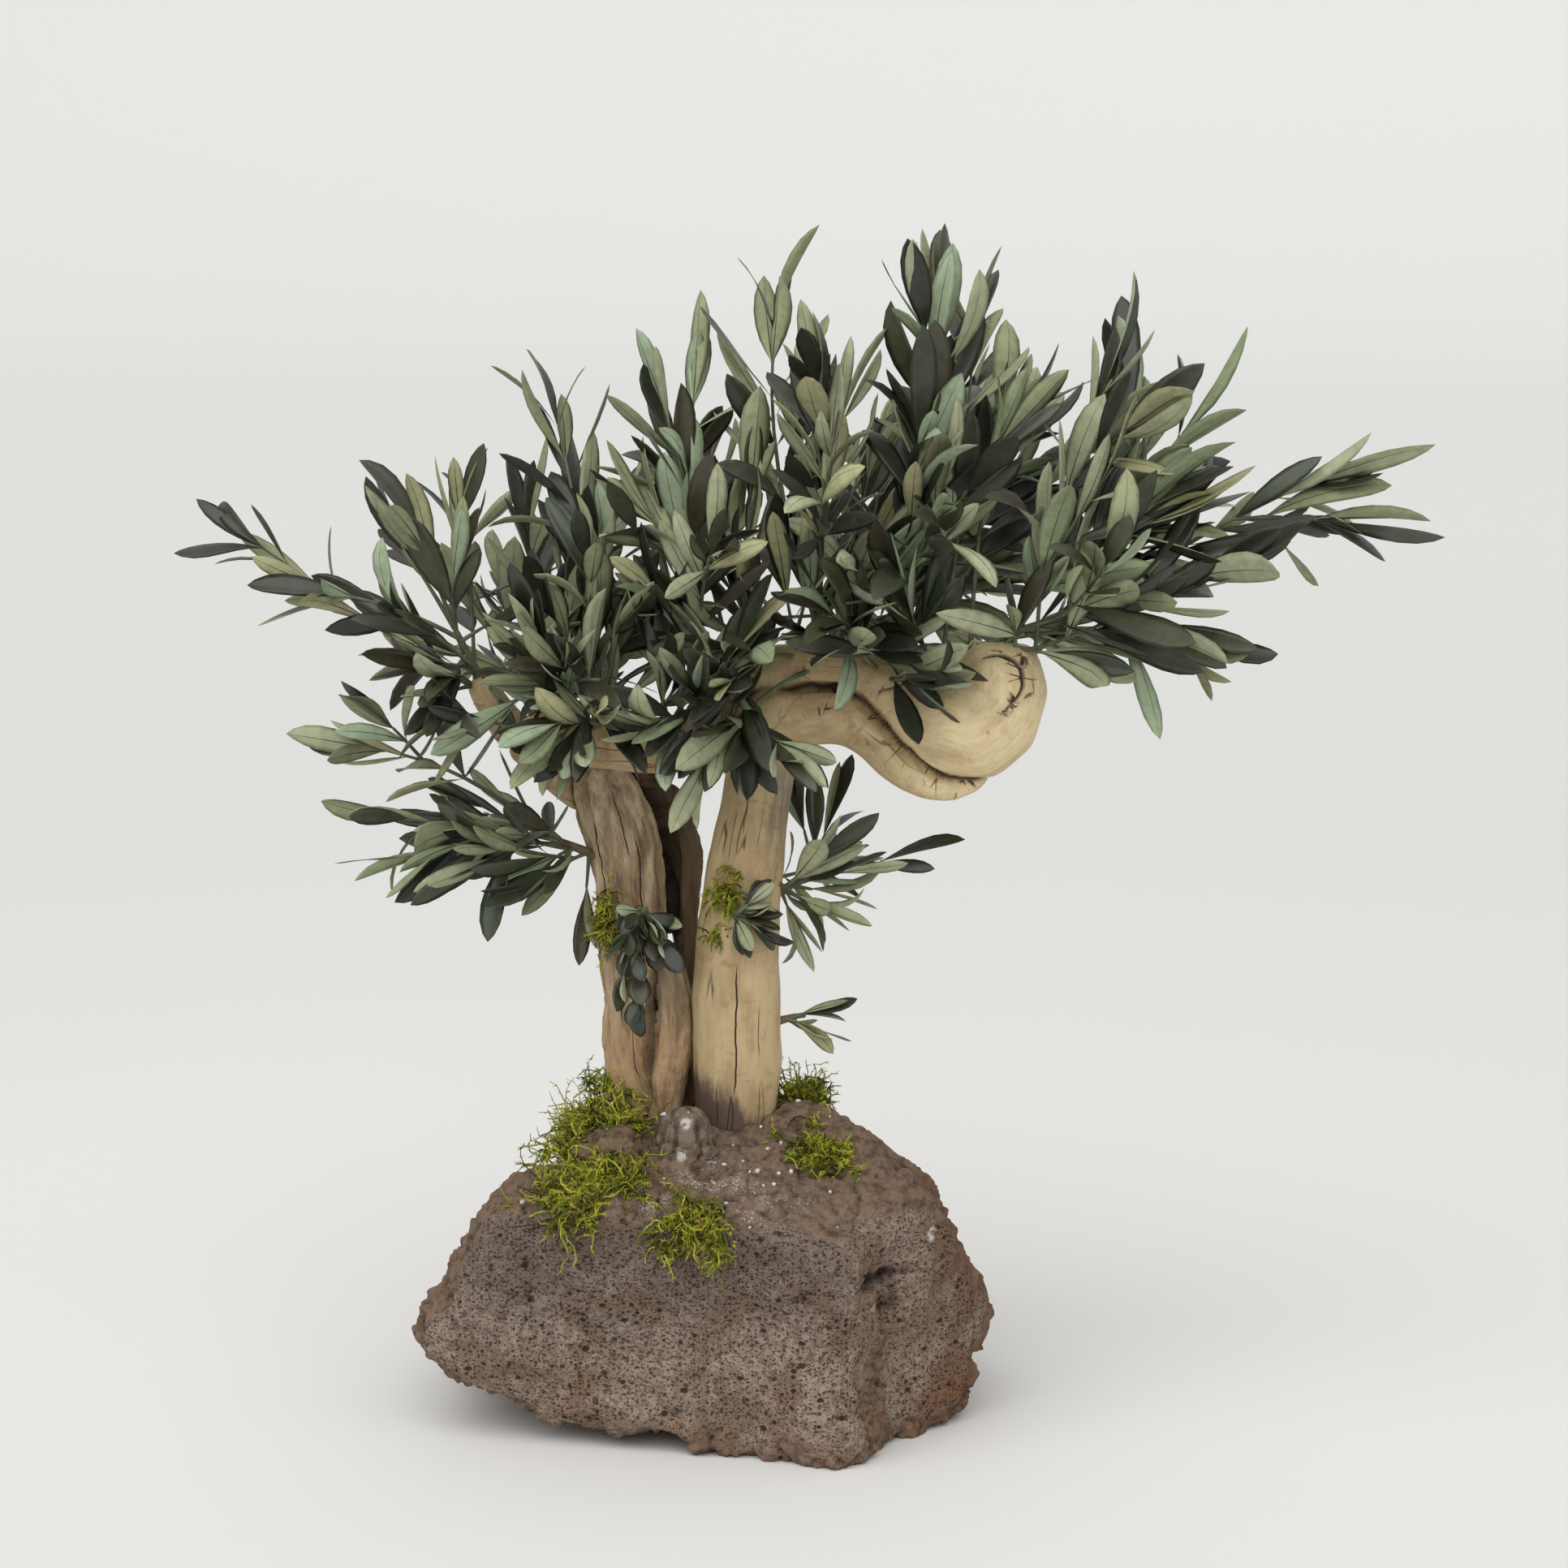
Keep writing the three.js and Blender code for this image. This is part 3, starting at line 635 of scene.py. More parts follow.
@dataclass(frozen=True)
class DriftwoodFinish:
    """Pale, worn wood with streaks along the grain and dark cracks."""

    pale: Point = (200, 177, 135)
    bright: Point = (238, 217, 171)
    tan: Point = (176, 150, 110)
    streak: Point = (152, 126, 90)
    grey: Point = (136, 125, 107)
    stain: Point = (96, 80, 70)
    smudge: Point = (148, 110, 68)
    crack: Point = (52, 36, 24)
    broad: Patch = Patch(15, 4, 0.4, 0.68, long=40)
    fine: Patch = Patch(2.4, 4, 0.56, 0.8, long=36)
    fine_share: float = 0.4
    fine_grey: Pair = (0.3, 0.6)
    bright_share: float = 0.5
    blotch: Patch = Patch(13, 5, 0.54, 0.7, 0.6, share=0.45)
    smudged: Patch = Patch(24, 5, 0.55, 0.72, 0.7, 11)
    smudge_share: float = 0.6
    ragged: Patch = Patch(8, 5, 0.75, 1.15, 0.65, 24)
    ragged_share: float = 0.9
    check_cells: Point = (1 / 19, 1 / 19, 1 / 8)
    check_width: float = 0.05
    torn: Patch = Patch(11, 4, 0.46, 0.58)
    hairs: Patch = Patch(18, 2, 0.0, 1.0, long=130)
    hair_level: float = 0.5
    hair_width: float = 0.013
    hair_places: Patch = Patch(30, 2, 0.52, 0.6, long=60)
    hair_share: float = 0.75
    fine_height: float = 0.5
    pore: float = 1.6
    pore_height: float = 0.3
    relief: float = 0.5
    slits: tuple[Slit, ...] = (
        Slit(0, 40, 132, 0.62),
        Slit(14, 62, 108, 0.34),
        Slit(-11, 18, 60, 0.34),
        Slit(-15, 96, 128, 0.32),
        Slit(7, 140, 186, 0.3),
        Slit(-5, 200, 246, 0.32),
    )

    def material(self) -> Material:
        """Makes the pale wood.

        Returns:
            The finished material.
        """
        mix = Recipe("pale_wood", 0.6, 0.3)
        fine = self.fine.noise(mix)
        cracks = self.cracks(mix)
        colour = mix.blend(cracks, self.surface(mix, fine), self.crack)
        pores = mix.sum(TIMES, mix.noise(self.pore), self.pore_height)
        height = mix.sum(PLUS, mix.sum(TIMES, fine, self.fine_height), pores)
        return mix.finish(colour, mix.sum(MINUS, height, cracks), self.relief)

    def surface(self, mix: Recipe, fine: Socket) -> Socket:
        """Colours the wood between the cracks.

        Args:
            mix: the recipe.
            fine: the finest noise along the grain.

        Returns:
            The colour.
        """
        bright = mix.attribute("bright")
        colour = mix.blend(bright, self.pale, self.bright)
        plain = mix.sum(MINUS, 1.0, mix.sum(TIMES, bright, self.bright_share))
        tan = mix.sum(TIMES, self.broad.on(mix), plain)
        colour = mix.blend(tan, colour, self.tan)
        streak = mix.sum(TIMES, mix.rise(fine, self.fine.low, self.fine.high), self.fine_share)
        colour = mix.blend(streak, colour, self.streak)
        colour = mix.blend(mix.sum(TIMES, self.blotch.on(mix), plain), colour, self.streak)
        share = mix.sum(TIMES, plain, self.smudge_share)
        smudge = mix.sum(TIMES, self.smudged.on(mix), share)
        colour = mix.blend(smudge, colour, self.smudge)
        grey = mix.sum(TIMES, mix.attribute("grey"), mix.rise(fine, *self.fine_grey))
        colour = mix.blend(grey, colour, self.grey)
        # painted shade: the hollows darken towards the streak colour
        colour = mix.blend(mix.attribute("hollow_shade"), colour, self.streak)
        ragged = mix.sum(TIMES, self.ragged.noise(mix), self.ragged_share)
        stain = mix.sum(PLUS, mix.attribute("stain"), ragged)
        stain = mix.rise(stain, self.ragged.low, self.ragged.high)
        return mix.blend(stain, colour, self.stain)

    def cracks(self, mix: Recipe) -> Socket:
        """Joins the splits, the fine checks beside the crease and the hair cracks along the grain.

        Args:
            mix: the recipe.

        Returns:
            A value of 1 in the cracks and 0 between them.
        """
        checks = mix.crackle(mix.stretched(mix.grain, self.check_cells), self.check_width)
        checks = mix.sum(TIMES, mix.sum(TIMES, checks, self.torn.on(mix)), mix.attribute("checks"))
        hairs = mix.contour(self.hairs.noise(mix), self.hair_level, self.hair_width)
        plain = mix.sum(MINUS, 1.0, mix.attribute("bright"))
        places = mix.sum(TIMES, self.hair_places.on(mix), plain)
        hairs = mix.sum(TIMES, mix.sum(TIMES, hairs, places), self.hair_share)
        cracks = mix.sum(MOST, mix.sum(MOST, mix.attribute("crack"), checks), hairs)
        for slit in self.slits:
            cracks = mix.sum(MOST, cracks, mix.slit(slit))
        return cracks


@dataclass(frozen=True)
class BarkFinish:
    """Dark, fissured bark with paler worn ridges."""

    ridge: Point = (196, 174, 143)
    brown: Point = (152, 129, 100)
    dark: Point = (92, 75, 57)
    worn: Point = (186, 154, 117)
    fissure: Point = (38, 29, 21)
    broad: Patch = Patch(9, 5, 0.36, 0.62, long=34)
    broad_worn: Pair = (0.3, 0.55)
    fine: Patch = Patch(1.8, 5, 0.5, 0.76, 0.65, 14)
    fine_share: float = 0.55
    darkened: Patch = Patch(16, 5, 0.5, 0.66, 0.6, 46, share=0.5)
    fine_height: float = -0.8
    pore: float = 1.5
    pore_height: float = 0.4
    relief: float = 1.0
    slits: tuple[Slit, ...] = (
        Slit(-7, 70, 165, 0.45),
        Slit(8, 100, 200, 0.5),
        Slit(-15, 120, 215, 0.4),
        Slit(2, 175, 235, 0.45),
        Slit(13, 40, 100, 0.4),
        Slit(-1, 30, 80, 0.35),
    )

    def material(self) -> Material:
        """Makes the rough wood.

        Returns:
            The finished material.
        """
        mix = Recipe("rough_wood", 0.85, 0.25)
        broad, fine = self.broad.noise(mix), self.fine.noise(mix)
        ridges = mix.rise(broad, self.broad.low, self.broad.high)
        colour = mix.blend(ridges, self.brown, self.ridge)
        worn = mix.sum(TIMES, mix.attribute("worn"), mix.rise(broad, *self.broad_worn))
        colour = mix.blend(worn, colour, self.worn)
        colour = mix.blend(self.darkened.on(mix), colour, self.dark)
        colour = mix.blend(mix.attribute("shade"), colour, self.dark)
        lines = mix.sum(TIMES, mix.rise(fine, self.fine.low, self.fine.high), self.fine_share)
        colour = mix.blend(lines, colour, self.fissure)
        # painted shade: the hollows darken towards the fissure colour
        colour = mix.blend(mix.attribute("hollow_shade"), colour, self.fissure)
        # on the left trunk the crack attribute holds painted shade in the cleft; the slits below are real
        # rifts
        rifts = mix.attribute("crack")
        for slit in self.slits:
            rifts = mix.sum(MOST, rifts, mix.slit(slit))
        colour = mix.blend(rifts, colour, self.fissure)
        pores = mix.sum(TIMES, mix.noise(self.pore), self.pore_height)
        height = mix.sum(PLUS, mix.sum(TIMES, fine, self.fine_height), pores)
        return mix.finish(colour, mix.sum(MINUS, height, rifts), self.relief)


@dataclass(frozen=True)
class LeafFinish:
    """One tone of one side of the leaves."""

    name: str
    tone: Point
    roughness: float
    specular: float
    mottle: float
    patches: Patch = Patch(7, 3, 0.35, 0.7)
    pore: float = 1.3
    relief: float = 0.06

    def material(self) -> Material:
        """Makes the leaf's skin, faintly mottled.

        Returns:
            The finished material.
        """
        mix = Recipe(self.name, self.roughness, self.specular)
        darker = tuple(channel * (1 - self.mottle) for channel in self.tone)
        colour = mix.blend(self.patches.on(mix), self.tone, darker)
        return mix.finish(colour, mix.noise(self.pore, 2), self.relief)


@dataclass(frozen=True)
class PlantFinish:
    """A soft mix of two tones, for twigs and moss."""

    name: str
    tone: Point
    shade: Point
    patch: float
    roughness: float = 0.75
    specular: float = 0.3
    edge: Pair = (0.35, 0.65)
    pore: float = 0.9
    relief: float = 0.1

    def material(self) -> Material:
        """Makes the finish.

        Returns:
            The finished material.
        """
        mix = Recipe(self.name, self.roughness, self.specular)
        patches = mix.rise(mix.noise(self.patch), *self.edge)
        colour = mix.blend(patches, self.tone, self.shade)
        return mix.finish(colour, mix.noise(self.pore, 2), self.relief)


class LeafSide(Enum):
    """The parts of a leaf that take finishes of their own."""

    TOP = 0
    UNDER = 1
    RIB = 2


LEAF_TOPS = tuple(
    LeafFinish(f"leaf_top_{name}", tone, 0.38, 0.55, 0.16)
    for name, tone in {
        "dark": (58, 61, 47),
        "deep": (47, 50, 39),
        "grey": (77, 79, 64),
        "olive": (75, 76, 54),
        "green": (65, 73, 53),
        "brown": (69, 64, 47),
    }.items()
)
LEAF_UNDERS = tuple(
    LeafFinish(f"leaf_under_{name}", tone, 0.78, 0.25, 0.1)
    for name, tone in {
        "sage": (178, 182, 148),
        "mint": (168, 184, 152),
        "moss": (165, 170, 133),
        "straw": (182, 180, 138),
        "green": (151, 163, 126),
        "dim": (146, 149, 116),
    }.items()
)
LEAF_TOP_SHARES = (0.28, 0.22, 0.18, 0.14, 0.12, 0.06)
LEAF_UNDER_SHARES = (0.26, 0.18, 0.2, 0.12, 0.12, 0.12)
LEAF_RIB = LeafFinish("leaf_rib", (62, 70, 54), 0.7, 0.3, 0.1)
TWIG_FINISH = PlantFinish("twig", (112, 124, 98), (92, 96, 74), 11)
STEM_FINISH = PlantFinish("stem", (120, 108, 84), (88, 80, 60), 8)
MOSS_TONES = (
    PlantFinish("moss_bright", (192, 192, 66), (156, 160, 47), 9, 0.85),
    PlantFinish("moss_green", (122, 130, 38), (92, 100, 27), 9, 0.85),
    PlantFinish("moss_dry", (170, 150, 76), (134, 114, 48), 9, 0.85),
    PlantFinish("moss_dark", (66, 70, 20), (44, 46, 14), 9, 0.85),
)
CHALK = PlantFinish("chalk", (232, 231, 228), (206, 203, 198), 2, 0.9)


def add_mesh(name: str, points: Array, faces: Array, kinds: Array,
             materials: list[Material]) -> Piece:
    """Makes one object from arrays.

    Args:
        name: the piece's name.
        points: corners in millimetres.
        faces: corner numbers, one row for each face.
        kinds: material number of each face.
        materials: the materials in that order.

    Returns:
        The new object.
    """
    mesh = bpy.data.meshes.new(name)
    count, corners = faces.shape
    mesh.vertices.add(len(points))
    mesh.vertices.foreach_set("co", (points * MM).astype(np.float32).ravel())
    mesh.loops.add(count * corners)
    mesh.loops.foreach_set("vertex_index", faces.astype(np.int32).ravel())
    mesh.polygons.add(count)
    mesh.polygons.foreach_set("loop_start", np.arange(0, count * corners, corners, dtype=np.int32))
    mesh.polygons.foreach_set("material_index", kinds.astype(np.int32))
    mesh.polygons.foreach_set("use_smooth", np.ones(count, dtype=bool))
    mesh.update(calc_edges=True)
    for material in materials:
        mesh.materials.append(material)
    piece = bpy.data.objects.new(name, mesh)
    bpy.context.scene.collection.objects.link(piece)
    return piece


def settle(piece: Piece, nodes: list[str]) -> None:
    """Ties a piece to the part and reports it.

    Args:
        piece: the new object.
        nodes: the solids that it stands for.
    """
    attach(piece, "root")
    if nodes:
        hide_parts(*nodes)
    LOG.info("%s: %d faces, for %s", piece.name, len(piece.data.polygons), ", ".join(nodes) or "detail")


class Skin:
    """A fine skin over one or more solids, worked as arrays in millimetres."""

    def __init__(self, name: str, nodes: list[str], voxel: float, swell: float) -> None:
        """Copies the solids, closes the gaps between them and lays a fine mesh over them.

        Args:
            name: the piece's name.
            nodes: the solids to cover.
            voxel: size of the fine faces.
            swell: how far the copies grow before they are joined.
        """
        self.nodes = nodes
        shape = bmesh.new()
        for node in nodes:
            shape.from_mesh(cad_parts[node].data)
        bmesh.ops.remove_doubles(shape, verts=shape.verts, dist=WELD)
        shape.normal_update()
        for vert in shape.verts:
            vert.co += vert.normal * swell * MM
        rough = bpy.data.meshes.new(name)
        shape.to_mesh(rough)
        shape.free()
        self.piece = bpy.data.objects.new(name, rough)
        bpy.context.scene.collection.objects.link(self.piece)
        remesh = self.piece.modifiers.new("remesh", "REMESH")
        remesh.mode = "VOXEL"
        remesh.voxel_size = voxel * MM * 1.0
        graph = bpy.context.evaluated_depsgraph_get()
        fine = bpy.data.meshes.new_from_object(self.piece.evaluated_get(graph))
        self.piece.modifiers.clear()
        self.piece.data = fine
        fine.name = name
        bpy.data.meshes.remove(rough)
        ends = np.zeros(2 * len(fine.edges), dtype=np.int32)
        fine.edges.foreach_get("vertices", ends)
        self.ends = ends.reshape(-1, 2)
        flat = np.zeros(3 * len(fine.vertices))
        fine.vertices.foreach_get("co", flat)
        self.points = flat.reshape(-1, 3) / MM

    def store(self) -> None:
        """Writes the points back to the mesh."""
        self.piece.data.vertices.foreach_set("co", (self.points * MM).astype(np.float32).ravel())
        self.piece.data.update()

    def normals(self) -> Array:
        """Reads the outward direction at each point.

        Returns:
            One unit vector for each point.
        """
        self.store()
        flat = np.zeros(self.points.size)
        self.piece.data.vertex_normals.foreach_get("vector", flat)
        return flat.reshape(-1, 3)

    def around(self, values: Array) -> Array:
        """Averages each point's neighbours.

        Args:
            values: one row for each point.

        Returns:
            The averages.
        """
        first, second = self.ends.T
        count = np.bincount(first, minlength=len(values)) + np.bincount(second, minlength=len(values))
        columns = values.reshape(len(values), -1).T
        sums = [
            np.bincount(first, column[second], len(values)) + np.bincount(second, column[first], len(values))
            for column in columns
        ]
        return (np.stack(sums, axis=1) / count[:, None]).reshape(values.shape)

    def smooth(self, rounds: int) -> None:
        """Evens out the points.

        Args:
            rounds: how often each point moves half way to its neighbours' middle.
        """
        for _ in range(rounds):
            self.points = 0.5 * self.points + 0.5 * self.around(self.points)

    def push(self, amount: Array) -> None:
        """Moves each point outward.

        Args:
            amount: how far each point moves, in millimetres.
        """
        self.points = self.points + self.normals() * amount[:, None]

    def hollows(self, rounds: int) -> Array:
        """Measures how deep each point lies below its surroundings.

        Args:
            rounds: how wide the surroundings are.

        Returns:
            Depth in millimetres, negative on ridges.
        """
        even = self.points
        for _ in range(rounds):
            even = self.around(even)
        return ((even - self.points) * self.normals()).sum(axis=1)

    def paint(self, name: str, values: Array) -> None:
        """Stores a value or a vector at each point.

        Args:
            name: the attribute's name.
            values: one row for each point.
        """
        is_vector = values.ndim == 2
        kind = "FLOAT_VECTOR" if is_vector else "FLOAT"
        layer = self.piece.data.attributes.new(name, kind, "POINT")
        layer.data.foreach_set("vector" if is_vector else "value", values.astype(np.float32).ravel())

    def dress(self, material: Material, slot: str) -> None:
        """Gives the skin its finish and its place in the part.

        Args:
            material: the finish.
            slot: not used.
        """
        self.store()
        mesh = self.piece.data
        mesh.polygons.foreach_set("use_smooth", np.ones(len(mesh.polygons), dtype=bool))
        mesh.materials.append(material)
        settle(self.piece, self.nodes)

    def tree(self) -> BVHTree:
        """Makes a search tree of the skin.

        Returns:
            The tree, in metres.
        """
        return BVHTree.FromObject(self.piece, bpy.context.evaluated_depsgraph_get())


@dataclass(frozen=True)
class Cleft:
    """A narrow crevice in the rock between two places."""

    start: Point
    end: Point
    width: float
    depth: float
    sway: float = 3.0
    sway_length: float = 9.0
    seed: int = 61

    def share(self, points: Array) -> Array:
        """Tells how deep each point lies in the crevice.

        Args:
            points: places in millimetres.

        Returns:
            Depth in millimetres.
        """
        first, last = np.array(self.start), np.array(self.end)
        line = last - first
        run = np.clip((points - first) @ line / (line @ line), 0, 1)
        gap = norm(points - first - run[:, None] * line, axis=1)
        gap = gap + self.sway * Noise(self.seed).smooth(points, self.sway_length)
        return self.depth * np.exp(-((gap / self.width) ** 2))


@dataclass
class LavaRock:
    """The rock with its two lumps: crumbly above and at the edges, a flat porous face in front."""

    voxel: float = 1.75
    wear: int = 14
    swell: float = 0.45
    lump: Pair = (44.0, 1.8)
    bend: Pair = (17.0, 5.0)
    crumbs: tuple[Pair, ...] = ((20.0, 7.0), (8.5, 4.0))
    crumb_wall: float = 0.35
    crumb_level: float = 0.25
    crumb_own: float = 0.6
    clods: tuple[Pair, ...] = ((14.0, -4.4), (5.0, 2.4))
    clod_level: float = 0.22
    pit_spacing: float = 14.0
    pit_depth: float = 2.8
    pit_radius: Pair = (0.08, 0.13)
    roughest: float = 1.15
    least_rough: float = 0.2
    face_smooth: float = 0.93
    top_smooth: float = 0.5
    top_turn: Pair = (0.3, 0.75)
    knob_smooth: float = 0.4
    knob_edge: Pair = (0.9, 1.25)
    face_wander: Pair = (34.0, 14.0)
    face_turn: Pair = (0.4, 0.68)
    turn_wander: float = 0.012
    face_low: Pair = (-2.0, 20.0)
    face_high: Pair = (142.0, 156.0)
    high_wander: float = 0.5
    hollow_shade_depth: Pair = (0.3, 2.2)
    hollow_shade_share: float = 0.8
    red_right: Pair = (112.0, 150.0)
    red_share: float = 0.85
    rust_height: Pair = (16.0, 78.0)
    rim_shade_wander: Pair = (55.0, 30.0)
    rim_shade_height: Pair = (40.0, 140.0)
    rim_shade_right: Pair = (70.0, 105.0)
    rim_shade_share: float = 0.6
    grey_share: float = 0.8
    dust_middle: Pair = (5.0, 158.0)
    dust_size: Pair = (75.0, 26.0)
    dust_edge: Pair = (0.35, 1.1)
    dust_front: Pair = (30.0, 60.0)
    chip_edge: Pair = (0.6, 1.0)
    chips: tuple[tuple[Point, Point], ...] = (
        ((137, -60, 131), (3.5, 20, 10)),
        ((-12, -60, 198), (4.0, 14, 4.5)),
        ((-15, -68, 179), (3.5, 14, 4.0)),
    )
    clefts: tuple[Cleft, ...] = (
        Cleft((96, -98, 105), (144, -60, 114), 3.4, 9.0),
        Cleft((112, -92, 108), (120, -92, 20), 6.0, 13.0),
        Cleft((-34, -104, 22), (-6, -108, 30), 4.0, 5.0),
        Cleft((-150, -70, 100), (-120, -86, 108), 4.0, 4.0),
    )
    seed: int = 7

    def build(self) -> Skin:
        """Makes the rock's skin and its finish.

        Returns:
            The finished skin.
        """
        skin = Skin("lava_rock", ["rock", "rock_knob", "rock_left_knob"], self.voxel, self.swell)
        skin.smooth(self.wear)
        normals = skin.normals()
        porous = self.face_share(skin.points, normals)
        knob = self.knob_share(skin.points)
        rough = self.roughest - self.face_smooth * porous
        rough = rough - self.top_smooth * ease(normals[:, 2], *self.top_turn) - self.knob_smooth * knob
        rough = np.maximum(rough, self.least_rough)
        skin.push(self.relief(skin.points, porous, rough))
        skin.points[:, 2] = np.maximum(skin.points[:, 2], 0.0)
        self.colour(skin, porous)
        skin.dress(LavaFinish().material(), "lava")
        return skin

    def face_share(self, points: Array, normals: Array) -> Array:
        """Tells how far each point belongs to the porous front face.

        Args:
            points: the skin's points.
            normals: their outward directions.

        Returns:
            A share from 0 to 1.
        """
        length, amount = self.face_wander
        wander = amount * Noise(self.seed).layers(points, length, 3)
        forward = ease(-normals[:, 1] + self.turn_wander * wander, *self.face_turn)
        low = ease(points[:, 2] + wander, *self.face_low)
        high = 1 - ease(points[:, 2] + self.high_wander * wander, *self.face_high)
        return forward * low * high

    def relief(self, points: Array, porous: Array, rough: Array) -> Array:
        """Works out lumps, broken crumbs, sharp ridges, large pits and crevices.

        Args:
            points: the skin's points.
            porous: share of the front face.
            rough: share of the crumbs and ridges.

        Returns:
            Outward height in millimetres.
        """
        lumps = self.lump[1] * Noise(self.seed + 1).layers(points, self.lump[0], 3)
        length, amount = self.bend
        bend = [Noise(self.seed + 20 + axis).layers(points, length, 2) for axis in range(3)]
        bent = points + amount * np.stack(bend, axis=1)
        broken = np.zeros(len(points))
        for number, (size, height) in enumerate(self.crumbs):
            near, far, own = Noise(self.seed + 30 + number).cells(bent, size)
            step = np.minimum(far - near, self.crumb_wall) - self.crumb_level
            broken += height * (step + self.crumb_own * (own - 0.5))
        for number, (size, height) in enumerate(self.clods):
            ridges = np.abs(Noise(self.seed + 50 + number).layers(bent, size, 2))
            broken += height * (ridges - self.clod_level)
        gap, _, own = Noise(self.seed + 4).cells(points, self.pit_spacing)
        least, more = self.pit_radius
        pits = self.pit_depth * np.clip(1 - (gap / (least + more * own)) ** 2, 0, 1)
        clefts = sum(cleft.share(points) for cleft in self.clefts)
        return lumps + rough * broken - porous * pits - clefts

    def knob_share(self, points: Array) -> Array:
        """Tells how far each point belongs to the upright knob.

        Args:
            points: the skin's points.

        Returns:
            A share from 0 to 1.
        """
        low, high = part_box("rock_knob")
        middle = np.array((low + high) / 2) / MM
        size = np.array(high - low) / MM / 2
        return 1 - ease(norm((points - middle) / size, axis=1), *self.knob_edge)

    def colour(self, skin: Skin, porous: Array) -> None:
        """Stores where each tint of the rock lies, and where shade is painted in its hollows and under the
        top rim.

        Args:
            skin: the finished skin.
            porous: share of the front face.
        """
        points = skin.points
        skin.paint("porous", porous)
        # painted shade: the stone darkens in its hollows, by how deep each point lies below its surroundings
        skin.paint("hollow_shade", self.hollow_shade_share * ease(skin.hollows(7), *self.hollow_shade_depth))
        skin.paint("red", self.red_share * ease(points[:, 0], *self.red_right))
        skin.paint("edge", 1 - ease(points[:, 2], *self.rust_height))
        # painted shade under the top rim: darker higher up the face, fading out towards its right end
        length, amount = self.rim_shade_wander
        wander = amount * Noise(self.seed + 9).layers(points, length, 3)
        rim = ease(points[:, 2] + wander, *self.rim_shade_height) * (1 - ease(points[:, 0], *self.rim_shade_right))
        skin.paint("rim", self.rim_shade_share * porous * rim)
        skin.paint("grey", self.grey_share * self.knob_share(points))
        right, height = self.dust_middle
        wide, high = self.dust_size
        ridge = np.abs(points[:, 2] - height) / high + np.abs(points[:, 0] - right) / wide
        skin.paint("dust", (1 - ease(ridge, *self.dust_edge)) * ease(-points[:, 1], *self.dust_front))
        reach = [(points - np.array(spot)) / np.array(size) for spot, size in self.chips]
        gap = np.min(norm(np.stack(reach), axis=2), axis=0)
        skin.paint("chip", 1 - ease(gap, *self.chip_edge))


@dataclass(frozen=True)
class Limb:
    """A limb's middle line: stations of x, y, z and radius."""

    stations: tuple[Station, ...]

    def line(self, steps: int = 80) -> Array:
        """Resamples the stations evenly.

        Args:
            steps: how many places.

        Returns:
            Rows of x, y, z and radius.
        """
        stations = np.array(self.stations)
        spans = norm(np.diff(stations[:, :3], axis=0), axis=1)
        length = np.concatenate([[0], np.cumsum(spans)])
        even = np.linspace(0, length[-1], steps)
        rows = np.stack([np.interp(even, length, column) for column in stations.T], axis=1)
        for _ in range(6):
            rows[1:-1] = 0.5 * rows[1:-1] + 0.25 * (rows[:-2] + rows[2:])
        return rows

    def unroll(self, points: Array) -> tuple[Array, Array, Array]:
        """Lays points out along the limb.

        Args:
            points: places in millimetres.

        Returns:
            Straightened places (aside, forward, along), angle round the limb in degrees, and closeness.
        """
        rows = self.line()
        spots, radii = rows[:, :3], rows[:, 3]
        squares = (points**2).sum(axis=1)[:, None] - 2 * points @ spots.T + (spots**2).sum(axis=1)
        nearest = np.argmin(squares, axis=1)
        tangents = unit(np.gradient(spots, axis=0))
        front = np.array([0.0, -1.0, 0.0]) - tangents * (-tangents[:, 1])[:, None]
        front = unit(front)
        aside = np.cross(tangents, front)
        distance = np.concatenate([[0], np.cumsum(norm(np.diff(spots, axis=0), axis=1))])
        offset = points - spots[nearest]
        along = distance[nearest] + (offset * tangents[nearest]).sum(axis=1)
        forward = (offset * front[nearest]).sum(axis=1)
        sideways = (offset * aside[nearest]).sum(axis=1)
        straight = np.stack([sideways, forward, along], axis=1)
        closeness = np.hypot(forward, sideways) / radii[nearest]
        return straight, np.degrees(np.arctan2(sideways, forward)), closeness


class Wood:
    """Limbs that share one skin, with the grain straightened along each and valleys between them."""

    swell = 0.5
    regrowth = 0.008
    apart = 500.0
    seam_seed = 77
    seam_wander = (14.0, 0.05)
    seam_reach = (1.2, 1.5)

    def __init__(self, name: str, nodes: list[str], limbs: tuple[Limb, ...], voxel: float,
                 rounds: int) -> None:
        """Lays a skin over the limbs and finds each point's place along its own limb.

        Args:
            name: the piece's name.
            nodes: the solids to cover.
            limbs: their middle lines.
            voxel: size of the fine faces.
            rounds: how far the solids' facets are worn away.
        """
        self.skin = Skin(name, nodes, voxel, self.swell)
        self.limbs = limbs
        self.skin.smooth(rounds)
        self.skin.push(np.full(len(self.skin.points), self.regrowth * rounds))
        laid = [limb.unroll(self.skin.points) for limb in limbs]
        self.closeness = np.stack([closeness for _, _, closeness in laid])
        self.owner = np.argmin(self.closeness, axis=0)
        rows = np.arange(len(self.owner))
        self.straight = np.stack([straight for straight, _, _ in laid])[self.owner, rows]
        self.straight[:, 2] += self.apart * self.owner
        self.turn = np.stack([turn for _, turn, _ in laid])[self.owner, rows]

    def seam(self, first: int, second: int, width: float) -> Array:
        """Finds the valley where two limbs lie against each other.

        Args:
            first: number of one limb.
            second: number of the other.
            width: half the width of the valley, as a share of the limbs' radius.

        Returns:
            A share of 1 in the valley and 0 away from it.
        """
        near, other = self.closeness[first], self.closeness[second]
        length, amount = self.seam_wander
        wander = amount * Noise(self.seam_seed).layers(self.skin.points, length, 3)
        gap = np.exp(-(((near - other) / 2 + wander) / width) ** 2)
        return gap * (1 - ease(np.minimum(near, other), *self.seam_reach))


